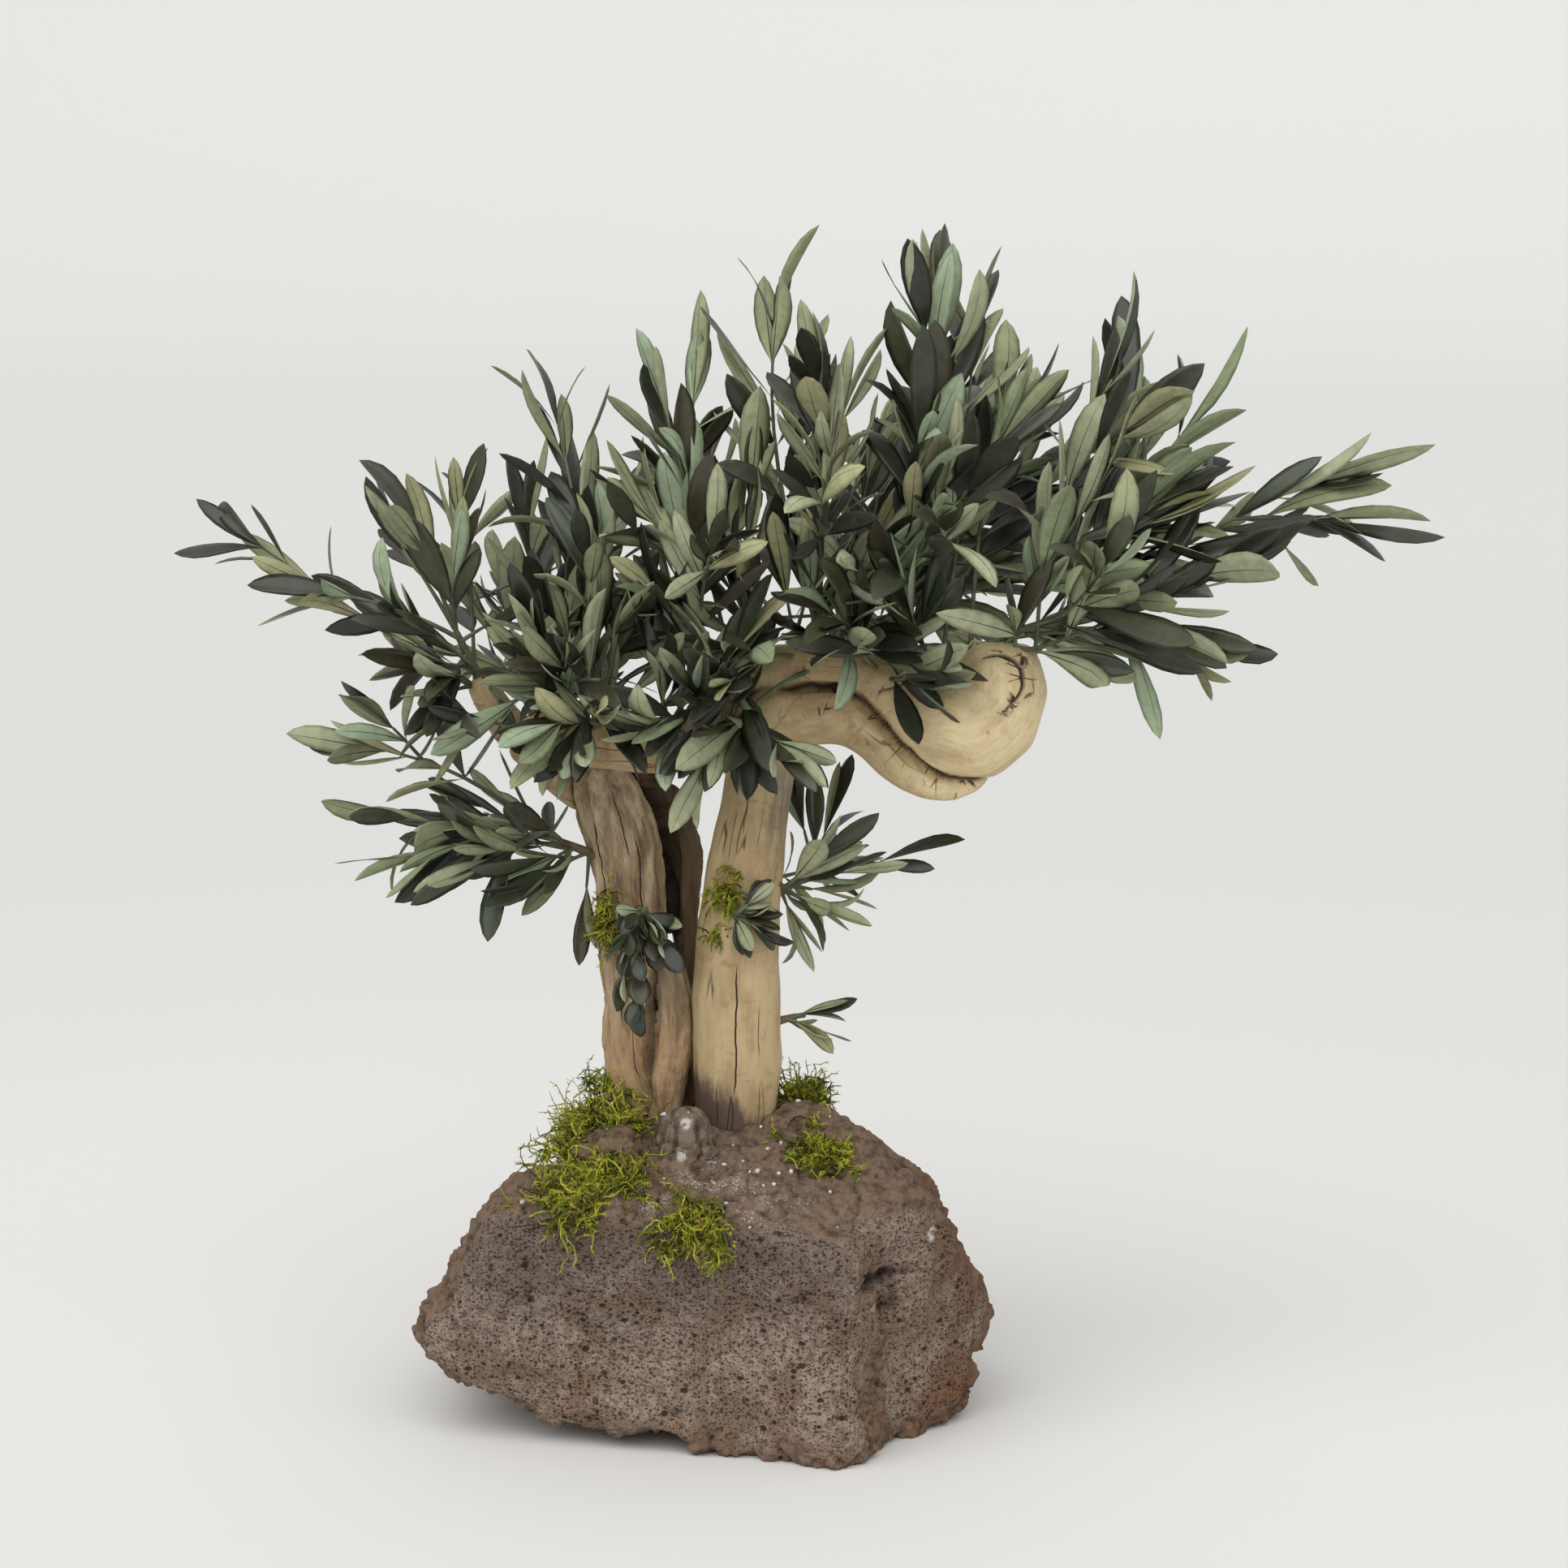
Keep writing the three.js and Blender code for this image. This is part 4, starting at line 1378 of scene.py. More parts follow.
TRUNK_RIGHT = Limb((
    (17, -14, 166, 26), (18, -14, 229, 26.5), (18, -14, 280, 25.6), (21, -14, 326, 24.5),
    (25, -14, 359, 22.9), (30, -13, 387, 20.9), (34, -12, 417, 21.4), (38, -10, 445, 24.3),
))
BOUGH_CROSS = Limb((
    (-116, -19, 434, 7), (-96, -21, 430, 15), (-54, -23, 426, 16.5), (-25, -23, 425, 16.5),
    (-4, -21, 430, 17), (22, -16, 446, 17),
))
BOUGH_LEFT = Limb(
    ((-62, 8, 380, 15), (-100, 12, 410, 13.5), (-120, 14, 428, 12.5), (-141, 13, 461, 9)),
)
UPPER_FOLD = Limb((
    (36, -9, 466, 17), (64, -12, 472, 14.5), (87, -14, 471, 14), (109, -17, 460, 19),
    (134, -20, 446, 28), (160, -23, 440, 38), (176, -25, 453, 34), (179, -22, 487, 20),
))
LOWER_FOLD = Limb((
    (36, -12, 438, 22), (64, -13, 443, 19), (87, -15, 442, 18.4), (100, -18, 434, 16.8),
    (110, -21, 423, 15.4), (121, -24, 412, 14.4), (135, -27, 404, 12.4), (149, -28, 402, 11),
    (164, -26, 406, 10), (182, -22, 420, 6),
))


@dataclass
class PaleLimbs:
    """The right trunk and the three pale boughs, worn smooth like driftwood."""

    voxel: float = 1.1
    wear: int = 110
    groove_width: float = 0.11
    groove_depth: float = 6.5
    crease_width: float = 0.045
    swell_size: float = 24.0
    swell_height: float = 0.8
    ridge: Pair = (4.0, 55.0)
    ridge_height: float = 0.3
    bright_right: Pair = (95.0, 150.0)
    checks_width: float = 0.24
    checks_above: float = 0.3
    checks_left: Pair = (70.0, 0.5)
    checks_round_curl: Pair = (3.0, 9.0)
    hollow_shade_depth: Pair = (0.4, 2.6)
    hollow_shade_share: float = 0.7
    curl_shade: float = 0.3
    stain_height: Pair = (178.0, 234.0)
    stain_slope: float = 0.7
    stain_right: float = 10.0
    grey_turn: float = 25.0
    grey_from: Pair = (340.0, 385.0)
    grey_until: Pair = (400.0, 430.0)
    grey_least: float = 0.15
    curl: Limb = Limb(((166, -50, 486, 0.5), (178, -50, 487, 1.0), (189, -48, 482, 1.6),
                       (193, -48, 471, 1.8), (191, -52, 461, 1.3), (184, -56, 455, 0.6)))
    curl_depth: float = 3.2
    curl_edge: Pair = (0.4, 1.3)
    curl_ragged: Pair = (7.0, 0.7)
    seed: int = 40

    def build(self) -> Skin:
        """Makes the pale wood.

        Returns:
            The finished skin.
        """
        limbs = (TRUNK_RIGHT, BOUGH_CROSS, BOUGH_LEFT, UPPER_FOLD, LOWER_FOLD)
        upper, lower = limbs.index(UPPER_FOLD), limbs.index(LOWER_FOLD)
        nodes = ["trunk_right", "bough_cross", "bough_left", "bough_right"]
        wood = Wood("pale_limbs", nodes, limbs, self.voxel, self.wear)
        skin = wood.skin
        narrow, long = self.ridge
        swells = self.swell_height * Noise(self.seed).layers(skin.points, self.swell_size, 2)
        ridges = self.ridge_height * Noise(self.seed + 1).layers(
            wood.straight, np.array([narrow, narrow, long]), 2
        )
        groove = wood.seam(upper, lower, self.groove_width)
        _, _, gap = self.curl_on(skin.points).unroll(skin.points)
        length, amount = self.curl_ragged
        ragged = 1 + amount * Noise(self.seed + 5).layers(skin.points, length, 3)
        curl = 1 - ease(gap * ragged, *self.curl_edge)
        skin.push(swells + ridges - self.groove_depth * groove - self.curl_depth * curl)
        skin.paint("grain", wood.straight)
        skin.paint("crack", np.maximum(wood.seam(upper, lower, self.crease_width), curl))
        across, _, height = skin.points.T
        skin.paint("bright", (wood.owner >= upper) * ease(across, *self.bright_right))
        beside = wood.seam(upper, lower, self.checks_width)
        beside = beside * np.where(wood.owner == lower, 1.0, self.checks_above)
        left_of, share = self.checks_left
        beside += share * (wood.owner == upper) * (across < left_of)
        around_curl = 1 - ease(gap, *self.checks_round_curl)
        skin.paint("checks", np.clip(beside + around_curl, 0, 1))
        # painted shade in the hollows, in the groove between the folds and around the curled crack
        hollow_shade = self.hollow_shade_share * ease(skin.hollows(14), *self.hollow_shade_depth)
        skin.paint("hollow_shade", np.maximum(hollow_shade, self.curl_shade * around_curl))
        climb = height + self.stain_slope * across - self.stain_right
        skin.paint("stain", 1 - ease(climb, *self.stain_height))
        right = (wood.owner == limbs.index(TRUNK_RIGHT)) & (wood.turn > self.grey_turn)
        grey = ease(height, *self.grey_from) * (1 - ease(height, *self.grey_until))
        skin.paint("grey", np.where(right, grey, self.grey_least))
        skin.dress(DriftwoodFinish().material(), "pale_wood")
        return skin

    def curl_on(self, points: Array) -> Limb:
        """Lays the curled crack's line on the wood.

        Args:
            points: the skin's points.

        Returns:
            The line, moved to the nearest points.
        """
        stations = []
        for *spot, radius in self.curl.line(24):
            nearest = np.argmin(((points - np.array(spot)) ** 2).sum(axis=1))
            stations.append((*points[nearest], radius))
        return Limb(tuple(stations))


FRONT_ROOT = Limb(
    ((-26, -8, 178, 11), (-22, -8, 232, 14), (-20, -6, 253, 13.5), (-24, 0, 277, 11), (-32, 4, 302, 8)),
)
BACK_STRAND = Limb(
    ((-19, 18, 178, 13), (-15, 22, 245, 11), (-15, 22, 289, 11), (-16, 20, 352, 13.5), (-38, 9, 398, 14)),
)
TRUNK_LEFT = Limb((
    (-33, 0, 178, 12.5), (-37, 0, 206, 15), (-44, 3, 222, 19), (-46, 5, 250, 19.5),
    (-46, 6, 293, 21), (-49, 6, 356, 25), (-61, 2, 402, 25), (-66, -3, 416, 18),
))


@dataclass
class RoughTrunk:
    """The left trunk with its dark, fissured bark."""

    voxel: float = 1.1
    wear: int = 24
    cleft_depth: float = 8.0
    cleft_width: float = 0.2
    root_cleft: Pair = (0.14, 0.4)
    plate: Pair = (11.0, 46.0)
    plate_height: float = 3.2
    fissure: Pair = (9.0, 60.0)
    fissure_depth: float = 2.0
    fissure_narrow: float = 3.0
    grit: Pair = (4.0, 0.6)
    flare: float = 7.5
    flare_height: Pair = (198.0, 240.0)
    flare_turn: Pair = (0.1, 0.8)
    cleft_shade: float = 0.9
    hollow_shade_depth: Pair = (0.4, 2.2)
    hollow_shade_share: float = 0.75
    worn_height: Pair = (236.0, 262.0)
    shade: float = 0.8
    seed: int = 90

    def build(self) -> Skin:
        """Makes the rough wood.

        Returns:
            The finished skin.
        """
        limbs = (TRUNK_LEFT, FRONT_ROOT, BACK_STRAND)
        main_strand, root, back = range(len(limbs))
        wood = Wood("rough_trunk", ["trunk_left"], limbs, self.voxel, self.wear)
        skin = wood.skin
        wide, long = self.plate
        plates = self.plate_height * Noise(self.seed).layers(wood.straight, np.array([wide, wide, long]), 3)
        thin, run = self.fissure
        lines = np.abs(Noise(self.seed + 1).layers(wood.straight, np.array([thin, thin, run]), 2))
        fissures = self.fissure_depth * np.clip(1 - lines * self.fissure_narrow, 0, 1)
        size, height = self.grit
        grit = height * Noise(self.seed + 2).layers(skin.points, size, 2)
        root_width, root_share = self.root_cleft
        root_cleft = root_share * wood.seam(main_strand, root, root_width)
        cleft = np.maximum(wood.seam(main_strand, back, self.cleft_width), root_cleft)
        low = 1 - ease(skin.points[:, 2], *self.flare_height)
        flare = self.flare * low * ease(-skin.normals()[:, 0], *self.flare_turn)
        skin.push(plates - fissures + grit + flare - self.cleft_depth * cleft)
        skin.paint("grain", wood.straight)
        # painted shade in the cleft between the strands and beside the front root
        skin.paint("crack", self.cleft_shade * cleft)
        # painted shade in the bark's hollows
        skin.paint("hollow_shade", self.hollow_shade_share * ease(skin.hollows(8), *self.hollow_shade_depth))
        skin.paint("worn", 1 - ease(skin.points[:, 2], *self.worn_height))
        skin.paint("shade", self.shade * (wood.owner == back))
        skin.dress(BarkFinish().material(), "rough_wood")
        return skin


@dataclass(frozen=True)
class Mass:
    """One mass of foliage on one stem, in its own rounded space.

    Attributes:
        name: its solid.
        root: where its stem leaves the wood.
        top: the stem's end.
        middle: middle of its space.
        radii: half sizes of its space.
        long: the furthest tips.
        shoots: fine shoots spread over the space.
        bow: lift of a shoot's middle, as a share of its length.
        leaf: size of its leaves.
        from_wood: share of the shoots that leave the wood itself.
        broad: breadth of its leaves.
        sides: side shoots of each shoot.
        spurs: short shoots that leave the wood near the stem.
        facing: how strongly the leaves face outward.
        spot: ending of its pieces' names, where one solid has two stems.
    """

    name: str
    root: Point
    top: Point
    middle: Point
    radii: Point
    long: tuple[Point, ...]
    shoots: int
    bow: float
    leaf: float
    from_wood: float = 0.45
    broad: float = 1.0
    sides: int = 1
    spurs: int = 0
    facing: float = 0.0
    spot: str = ""


MASSES = (
    Mass("crown_right", (179, -22, 478), (205, -20, 530), (252, -12, 572), (78, 92, 92),
         ((438, 15, 607), (340, 45, 674), (270, 10, 700), (292, -100, 549), (362, -55, 556),
          (308, -35, 487), (254, -60, 465)), 8, 0.06, 1.16),
    Mass("crown_stub", (117, -25, 474), (124, -24, 535), (151, -45, 585), (60, 90, 98),
         ((140, 0, 750), (163, 15, 722), (193, 40, 675), (160, -85, 456)), 8, 0.05, 1.04, spurs=10),
    Mass("crown_top", (66, -10, 474), (70, -8, 530), (76, -35, 584), (52, 98, 92),
         ((57, 25, 722), (108, -25, 684)), 8, 0.05, 1.0, spurs=8),
    Mass("crown_centre", (-8, -18, 438), (-4, -10, 505), (-4, -30, 574), (60, 95, 96),
         ((-45, 0, 690), (0, 40, 680)), 9, 0.08, 1.0, spurs=11),
    Mass("crown_mid", (-73, -20, 434), (-76, -24, 485), (-79, -50, 522), (52, 76, 76),
         ((-109, 25, 676), (-105, -88, 418), (-62, -98, 424), (-132, -72, 436), (-84, -80, 400),
          (-48, -92, 404), (-104, -90, 398)), 8, 0.06, 0.95, spurs=12),
    Mass("crown_left", (-138, 13, 456), (-156, 8, 495), (-160, -15, 515), (70, 84, 66),
         ((-311, 0, 576), (-276, -20, 521), (-215, 45, 573), (-196, -20, 590), (-149, 25, 612),
          (-213, -20, 460), (-170, -60, 448), (-190, -48, 438), (-152, -70, 424)),
         6, 0.06, 0.95, sides=0, spurs=4),
    Mass("crown_front", (28, -24, 464), (14, -74, 478), (1, -95, 461), (53, 40, 53),
         ((29, -80, 387), (-9, -70, 380), (-34, -88, 396), (10, -96, 402), (-52, -88, 400),
          (-22, -82, 376)), 5, 0.15, 0.92, 0.2, 1.0, 0, facing=1.2),
    Mass("crown_back_right", (69, -2, 470), (92, 62, 510), (163, 118, 562), (110, 72, 96),
         ((280, 140, 612),), 14, 0.08, 1.0, 0.2),
    Mass("crown_back_left", (-108, 14, 418), (-108, 70, 470), (-90, 118, 530), (110, 72, 86),
         ((-223, 130, 497),), 13, 0.08, 1.0, 0.2, sides=0),
    Mass("spray_left", (-64, 2, 350), (-100, -6, 366), (-132, -10, 364), (56, 50, 40),
         ((-259, -5, 419), (-239, -30, 390), (-186, 35, 403), (-185, -40, 367), (-134, -20, 308),
          (-87, -15, 279)), 6, 0.06, 0.9, 0.0, 1.0, 1),
    Mass("spray_right", (38, -4, 326), (70, 12, 342), (87, 14, 360), (40, 46, 45),
         ((163, 5, 351), (133, -10, 338), (106, 40, 398), (64, 60, 402), (99, -15, 311),
          (68, -25, 295)), 5, 0.1, 0.82, 0.0, 1.0, 0, spurs=4),
    Mass("sprout_foot", (36, -12, 248), (58, -4, 252), (66, -4, 246), (14, 22, 16),
         ((91, -5, 254), (75, -20, 238)), 5, 0.1, 0.58, 0.0, 1.0, 0),
    Mass("sprout_trunk", (-42, -10, 320), (-38, -46, 326), (-37, -48, 310), (26, 12, 32),
         ((-56, -50, 264), (-42, -52, 246), (-22, -48, 292)), 13, 0.1, 0.36, 0.0, 2.3, 0, facing=1.2),
    Mass("spray_right", (14, -30, 321), (20, -46, 326), (31, -47, 316), (19, 12, 28),
         ((54, -48, 302), (46, -46, 346)), 9, 0.1, 0.42, 0.0, 1.4, 0, facing=1.0, spot="_front"),
)


@dataclass(frozen=True)
class Bud:
    """Where a leaf starts: its foot on the twig, the twig's direction, the angles from it and round it.

    Its size is a share of the full leaf, its limit one of the mass's space, and its tones are the shoot's.
    """

    foot: Array
    axis: Array
    opening: float
    turn: float
    size: float
    limit: float
    tones: tuple[int, int]


@dataclass(frozen=True)
class Leaf:
    """One leaf: its foot, direction and upper side, its sizes, and its finishes above and below."""

    foot: Array
    along: Array
    upper: Array
    length: float
    width: float
    top: int
    under: int


@dataclass
class Growth:
    """One mass while it grows: its source of chance, its leaves, and its twigs as lines and radii."""

    mass: Mass
    rng: np.random.Generator
    leaves: list[Leaf] = field(default_factory=list)
    paths: list[Array] = field(default_factory=list)
    radii: list[Array] = field(default_factory=list)


@dataclass(frozen=True)
class LeafShape:
    """A narrow leaf of two skins with a rib below: rows are shares of its length, spread of its width."""

    rows: tuple[float, ...] = (0.0, 0.06, 0.17, 0.33, 0.5, 0.66, 0.81, 0.93, 1.0)
    spread: tuple[float, ...] = (0.1, 0.13, 0.4, 0.75, 0.96, 1.0, 0.84, 0.46, 0.03)
    thickness: float = 0.3
    rib: float = 0.42
    bend: Pair = (-0.04, 0.38)
    twist: float = 0.5
    hook: float = 0.3
    fold: Pair = (0.18, 0.24)
    fold_range: Pair = (-0.35, 0.7)
    inner: float = 0.55
    bulge: float = 0.6
    vein_bulge: float = 0.5
    rib_bulge: float = 1.3
    top_line: tuple[int, ...] = (0, 1, 2, 3, 4)
    under_line: tuple[int, ...] = (0, 5, 6, 7, 8, 4)
    rib_strip: int = 2

    def mesh(self, name: str, leaves: list[Leaf], seed: int, materials: list[Material]) -> Piece:
        """Makes leaves as one mesh.

        Args:
            name: the piece's name.
            leaves: the leaves.
            seed: pattern of their bends.
            materials: tops, undersides, then the rib.

        Returns:
            The new object.
        """
        rng = np.random.default_rng(seed)
        count = len(leaves)
        rows, spread = np.array(self.rows), np.array(self.spread)
        along = unit(np.array([leaf.along for leaf in leaves]))
        upper = np.array([leaf.upper for leaf in leaves])
        upper = unit(upper - along * (along * upper).sum(axis=1, keepdims=True))
        length = np.array([[leaf.length] for leaf in leaves])
        half = np.array([[leaf.width] for leaf in leaves]) / 2 * spread
        bend = rng.normal(*self.bend, (count, 1))
        twist = rng.normal(0, self.twist, (count, 1)) * rows
        fold = np.clip(rng.normal(*self.fold, (count, 1)), *self.fold_range)
        heading = bend * rows + rng.normal(0, self.hook, (count, 1)) * rows**3
        steps = np.diff(rows)
        base = np.zeros((count, 1))
        forward = np.concatenate([base, np.cumsum(np.cos(heading[:, 1:]) * steps, axis=1)], axis=1)
        rise = np.concatenate([base, np.cumsum(np.sin(heading[:, 1:]) * steps, axis=1)], axis=1)
        side = np.cross(along, upper)
        middle = np.array([[leaf.foot] for leaf in leaves]) + length[..., None] * (
            forward[..., None] * along[:, None] + rise[..., None] * upper[:, None]
        )
        lift = np.cos(heading)[..., None] * upper[:, None] - np.sin(heading)[..., None] * along[:, None]
        across = np.cos(twist)[..., None] * side[:, None] + np.sin(twist)[..., None] * lift
        out = np.cos(twist)[..., None] * lift - np.sin(twist)[..., None] * side[:, None]
        rib = np.minimum(self.rib * (1.15 - rows), 0.3 * half + 0.05)
        inner, none = self.inner * half, 0 * half
        offsets = [-half, -inner, none, inner, half, -inner, -rib, rib, inner]
        skin = self.thickness * np.minimum(1, half / 3)
        bulge, vein, ridge = self.bulge * skin, self.vein_bulge * skin, self.rib_bulge * skin
        heights = [none, bulge, vein, bulge, none, -bulge, -ridge, -ridge, -bulge]
        corners = [
            middle + across * offset[..., None] + out * (height + fold * np.abs(offset))[..., None]
            for offset, height in zip(offsets, heights)
        ]
        points = np.stack(corners, axis=2).reshape(-1, 3)
        faces, sides = self.faces()
        per_leaf = len(self.rows) * len(offsets)
        all_faces = (faces[None] + (np.arange(count) * per_leaf)[:, None, None]).reshape(-1, 4)
        under, last = len(LEAF_TOPS), len(LEAF_TOPS) + len(LEAF_UNDERS)
        tones = np.array([(leaf.top, under + leaf.under, last) for leaf in leaves])
        kinds = tones[:, sides].reshape(-1)
        return add_mesh(name, points, all_faces, kinds, materials)

    def faces(self) -> tuple[Array, Array]:
        """Lists the faces of one leaf.

        Returns:
            Corner numbers of each face, and the side of the leaf that it is on.
        """
        faces, sides = [], []
        points = len(set(self.top_line + self.under_line))
        for row in range(len(self.rows) - 1):
            here, there = points * row, points * (row + 1)
            for left, right in zip(self.top_line, self.top_line[1:]):
                faces.append([here + left, here + right, there + right, there + left])
                sides.append(LeafSide.TOP.value)
            for number, (left, right) in enumerate(zip(self.under_line, self.under_line[1:])):
                faces.append([here + left, there + left, there + right, here + right])
                sides.append(LeafSide.RIB.value if number == self.rib_strip else LeafSide.UNDER.value)
        return np.array(faces), np.array(sides)


def tubes(name: str, paths: Array, radii: Array, sides: int, kinds: Array,
          materials: list[Material]) -> Piece:
    """Makes many thin round bars as one mesh.

    Args:
        name: the piece's name.
        paths: middle lines, bars by rings by three.
        radii: radius at each ring.
        sides: corners of each ring.
        kinds: material number of each bar.
        materials: the materials.

    Returns:
        The new object.
    """
    count, rings, _ = paths.shape
    tangents = unit(np.gradient(paths, axis=1))
    first = unit(np.cross(tangents, np.array([0.31, 0.53, 0.79])))
    second = np.cross(tangents, first)
    angles = np.arange(sides) * 2 * math.pi / sides
    ring = np.cos(angles)[:, None] * first[:, :, None] + np.sin(angles)[:, None] * second[:, :, None]
    points = (paths[:, :, None] + radii[:, :, None, None] * ring).reshape(-1, 3)
    faces = [
        [row * sides + corner, row * sides + (corner + 1) % sides,
         (row + 1) * sides + (corner + 1) % sides, (row + 1) * sides + corner]
        for row in range(rings - 1)
        for corner in range(sides)
    ]
    faces = np.array(faces)
    all_faces = (faces[None] + (np.arange(count) * rings * sides)[:, None, None]).reshape(-1, 4)
    return add_mesh(name, points, all_faces, np.repeat(kinds, len(faces)), materials)


@dataclass
class Foliage:
    """The olive's shoots and leaves, grown mass by mass from the wood."""

    wood: BVHTree
    stone: BVHTree
    shape: LeafShape = field(default_factory=LeafShape)
    length: float = 66.0
    width: float = 0.24
    spacing: float = 18.0
    bare: float = 0.3
    long_bare: float = 0.42
    side_bare: float = 0.15
    spur_length: Pair = (22.0, 52.0)
    spur_spread: Point = (28.0, 11.0, 4.0)
    side_length: Pair = (36.0, 66.0)
    side_angle: Pair = (0.4, 0.9)
    limit: float = 1.14
    open_angle: Pair = (0.42, 0.92)
    tip_angle: float = 0.22
    flipped: float = 0.36
    fallen: float = 0.08
    stem_radius: float = 3.4
    stem_tip: float = 1.8
    twig_radius: float = 1.6
    twig_tip: float = 0.85
    twig_end: float = 0.05
    side_thin: float = 0.8
    twig_gap: float = 1.0
    leaf_gap: float = 1.5
    tip_depth: Pair = (0.82, 1.06)
    lowest_start: float = 0.75
    wood_spread: Point = (24.0, 12.0, 4.0)
    wood_lift: float = 12.0
    spur_lift: float = 16.0
    shoot_stray: float = 0.09
    shortest: float = 0.25
    first_pair: float = 4.0
    look_ahead: float = 4.0
    opening_pairs: int = 3
    tip_leaf: float = 0.95
    pair_leaf: Pair = (0.84, 0.16)
    spacing_spread: Pair = (0.75, 1.3)
    turn_stray: float = 0.3
    open_stray: float = 0.14
    droop: Pair = (0.3, 0.05)
    length_spread: Pair = (0.74, 1.16)
    width_spread: Pair = (0.8, 1.2)
    tested: Point = (0.4, 0.7, 1.0)
    upward: float = 0.3
    upper_stray: float = 0.45
    tip_opening: float = 0.1
    tone_stray: float = 0.25
    rings: int = 9
    tries: int = 5
    seed: int = 120

    def build(self) -> None:
        """Grows every mass."""
        tops = [finish.material() for finish in LEAF_TOPS]
        unders = [finish.material() for finish in LEAF_UNDERS]
        leaf_materials = tops + unders + [LEAF_RIB.material()]
        twig_materials = [TWIG_FINISH.material(), STEM_FINISH.material()]
        for number, mass in enumerate(MASSES):
            growth = self.grow(mass, self.seed + number)
            kinds = (np.arange(len(growth.paths)) == 0).astype(int)
            paths, radii = np.array(growth.paths), np.array(growth.radii)
            twigs = tubes(f"{mass.name}{mass.spot}_twigs", paths, radii, 6, kinds, twig_materials)
            settle(twigs, [mass.name])
            leaf_name = f"{mass.name}{mass.spot}_leaves"
            leaves = self.shape.mesh(leaf_name, growth.leaves, self.seed + number, leaf_materials)
            settle(leaves, [mass.name])

    def grow(self, mass: Mass, seed: int) -> Growth:
        """Grows one mass: the stem, its shoots and their side shoots, with leaves.

        Args:
            mass: the mass.
            seed: pattern of its growth.

        Returns:
            Its twigs, the stem first, and its leaves.
        """
        growth = Growth(mass, np.random.default_rng(seed))
        root, top = np.array(mass.root, float), np.array(mass.top, float)
        stem = root + (top - root) * np.linspace(0, 1, self.rings)[:, None]
        self.add_twig(growth, stem, self.stem_radius, self.stem_tip)
        for number, tip in enumerate(self.tips(growth)):
            path = self.shoot(growth, tip)
            if path is None:
                continue
            is_long = number < len(mass.long)
            limit = math.inf if is_long else self.limit
            self.add_twig(growth, path, self.twig_radius, self.twig_tip)
            self.leaf_out(growth, path, self.long_bare if is_long else self.bare, limit)
            for _ in range(mass.sides):
                side = self.side_shoot(growth, path)
                if self.is_clear(side[1:], self.twig_gap):
                    self.add_twig(growth, side, self.side_thin * self.twig_radius, self.twig_tip)
                    self.leaf_out(growth, side, self.side_bare, limit)
        for _ in range(mass.spurs):
            spur = self.spur(growth)
            if self.is_clear(spur[2:], self.twig_gap):
                self.add_twig(growth, spur, self.twig_radius, self.twig_tip)
                self.leaf_out(growth, spur, self.side_bare, math.inf)
        return growth

    def add_twig(self, growth: Growth, path: Array, start: float, end: float) -> None:
        """Keeps one twig, thinning from start to end and closed at the tip.

        Args:
            growth: the growing mass.
            path: the twig's middle line.
            start: radius at its foot.
            end: radius near its tip.
        """
        radii = np.linspace(start, end, self.rings)
        radii[-1] = self.twig_end
        growth.paths.append(path)
        growth.radii.append(radii)

    def tips(self, growth: Growth) -> list[Array]:
        """Lists the long tips, then tips spread evenly over the space and a little inside it.

        Args:
            growth: the growing mass.

        Returns:
            One place for each shoot.
        """
        mass, rng = growth.mass, growth.rng
        tips = [np.array(tip, float) for tip in mass.long]
        golden = math.pi * (3 - math.sqrt(5))
        first_turn = rng.random() * 2 * math.pi
        for number in range(mass.shoots):
            height = 1 - (2 * number + 1) / mass.shoots
            wide = math.sqrt(1 - height * height)
            turn = first_turn + golden * number
            spot = np.array([wide * math.cos(turn), wide * math.sin(turn), height])
            depth = rng.uniform(*self.tip_depth)
            tips.append(np.array(mass.middle) + spot * np.array(mass.radii) * depth)
        return tips

    def shoot(self, growth: Growth, tip: Array) -> Array | None:
        """Lays out one shoot that stays clear of wood and stone.

        Args:
            growth: the growing mass.
            tip: where its last leaf ends.

        Returns:
            Its middle line, or nothing where no clear way was found.
        """
        mass, rng = growth.mass, growth.rng
        root, top = np.array(mass.root, float), np.array(mass.top, float)
        height = (tip[2] - mass.middle[2]) / mass.radii[2]
        for attempt in range(self.tries):
            below = np.clip((1.1 - height) / 2 * rng.uniform(0.5, 1.5), 0, 1)
            start = top + (root - top) * self.lowest_start * below
            if rng.random() < mass.from_wood and attempt < self.tries - 1:
                astray = rng.normal(0, 1, 3) * np.array(self.wood_spread)
                start, _ = self.on_wood(root + astray + self.wood_lift * UP)
            reach = norm(tip - start)
            stray = rng.normal(0, self.shoot_stray, 3) * reach
            bend = (start + tip) / 2 + UP * mass.bow * reach + stray
            share = max(self.shortest, 1 - self.tip_leaf * self.length * mass.leaf / reach)
            steps = np.linspace(0, share, self.rings)[:, None]
            path = (1 - steps) ** 2 * start + 2 * steps * (1 - steps) * bend + steps**2 * tip
            if self.is_clear(path[2:], self.twig_gap):
                return path
        return None

    def side_shoot(self, growth: Growth, path: Array) -> Array:
        """Branches a shorter shoot off another one.

        Args:
            growth: the growing mass.
            path: the shoot that it leaves.

        Returns:
            Its middle line.
        """
        mass, rng = growth.mass, growth.rng
        ring = int(rng.integers(2, self.rings - 2))
        axis = unit(path[ring + 1] - path[ring])
        outward = unit(path[ring] - np.array(mass.middle)) * 0.5 + rng.normal(0, 0.7, 3)
        aside = unit(outward - axis * float(outward @ axis))
        angle = rng.uniform(*self.side_angle)
        heading = math.cos(angle) * axis + math.sin(angle) * aside
        steps = np.linspace(0, rng.uniform(*self.side_length) * mass.leaf, self.rings)[:, None]
        return path[ring] + heading * steps + UP * rng.uniform(-0.0015, 0.003) * steps**2

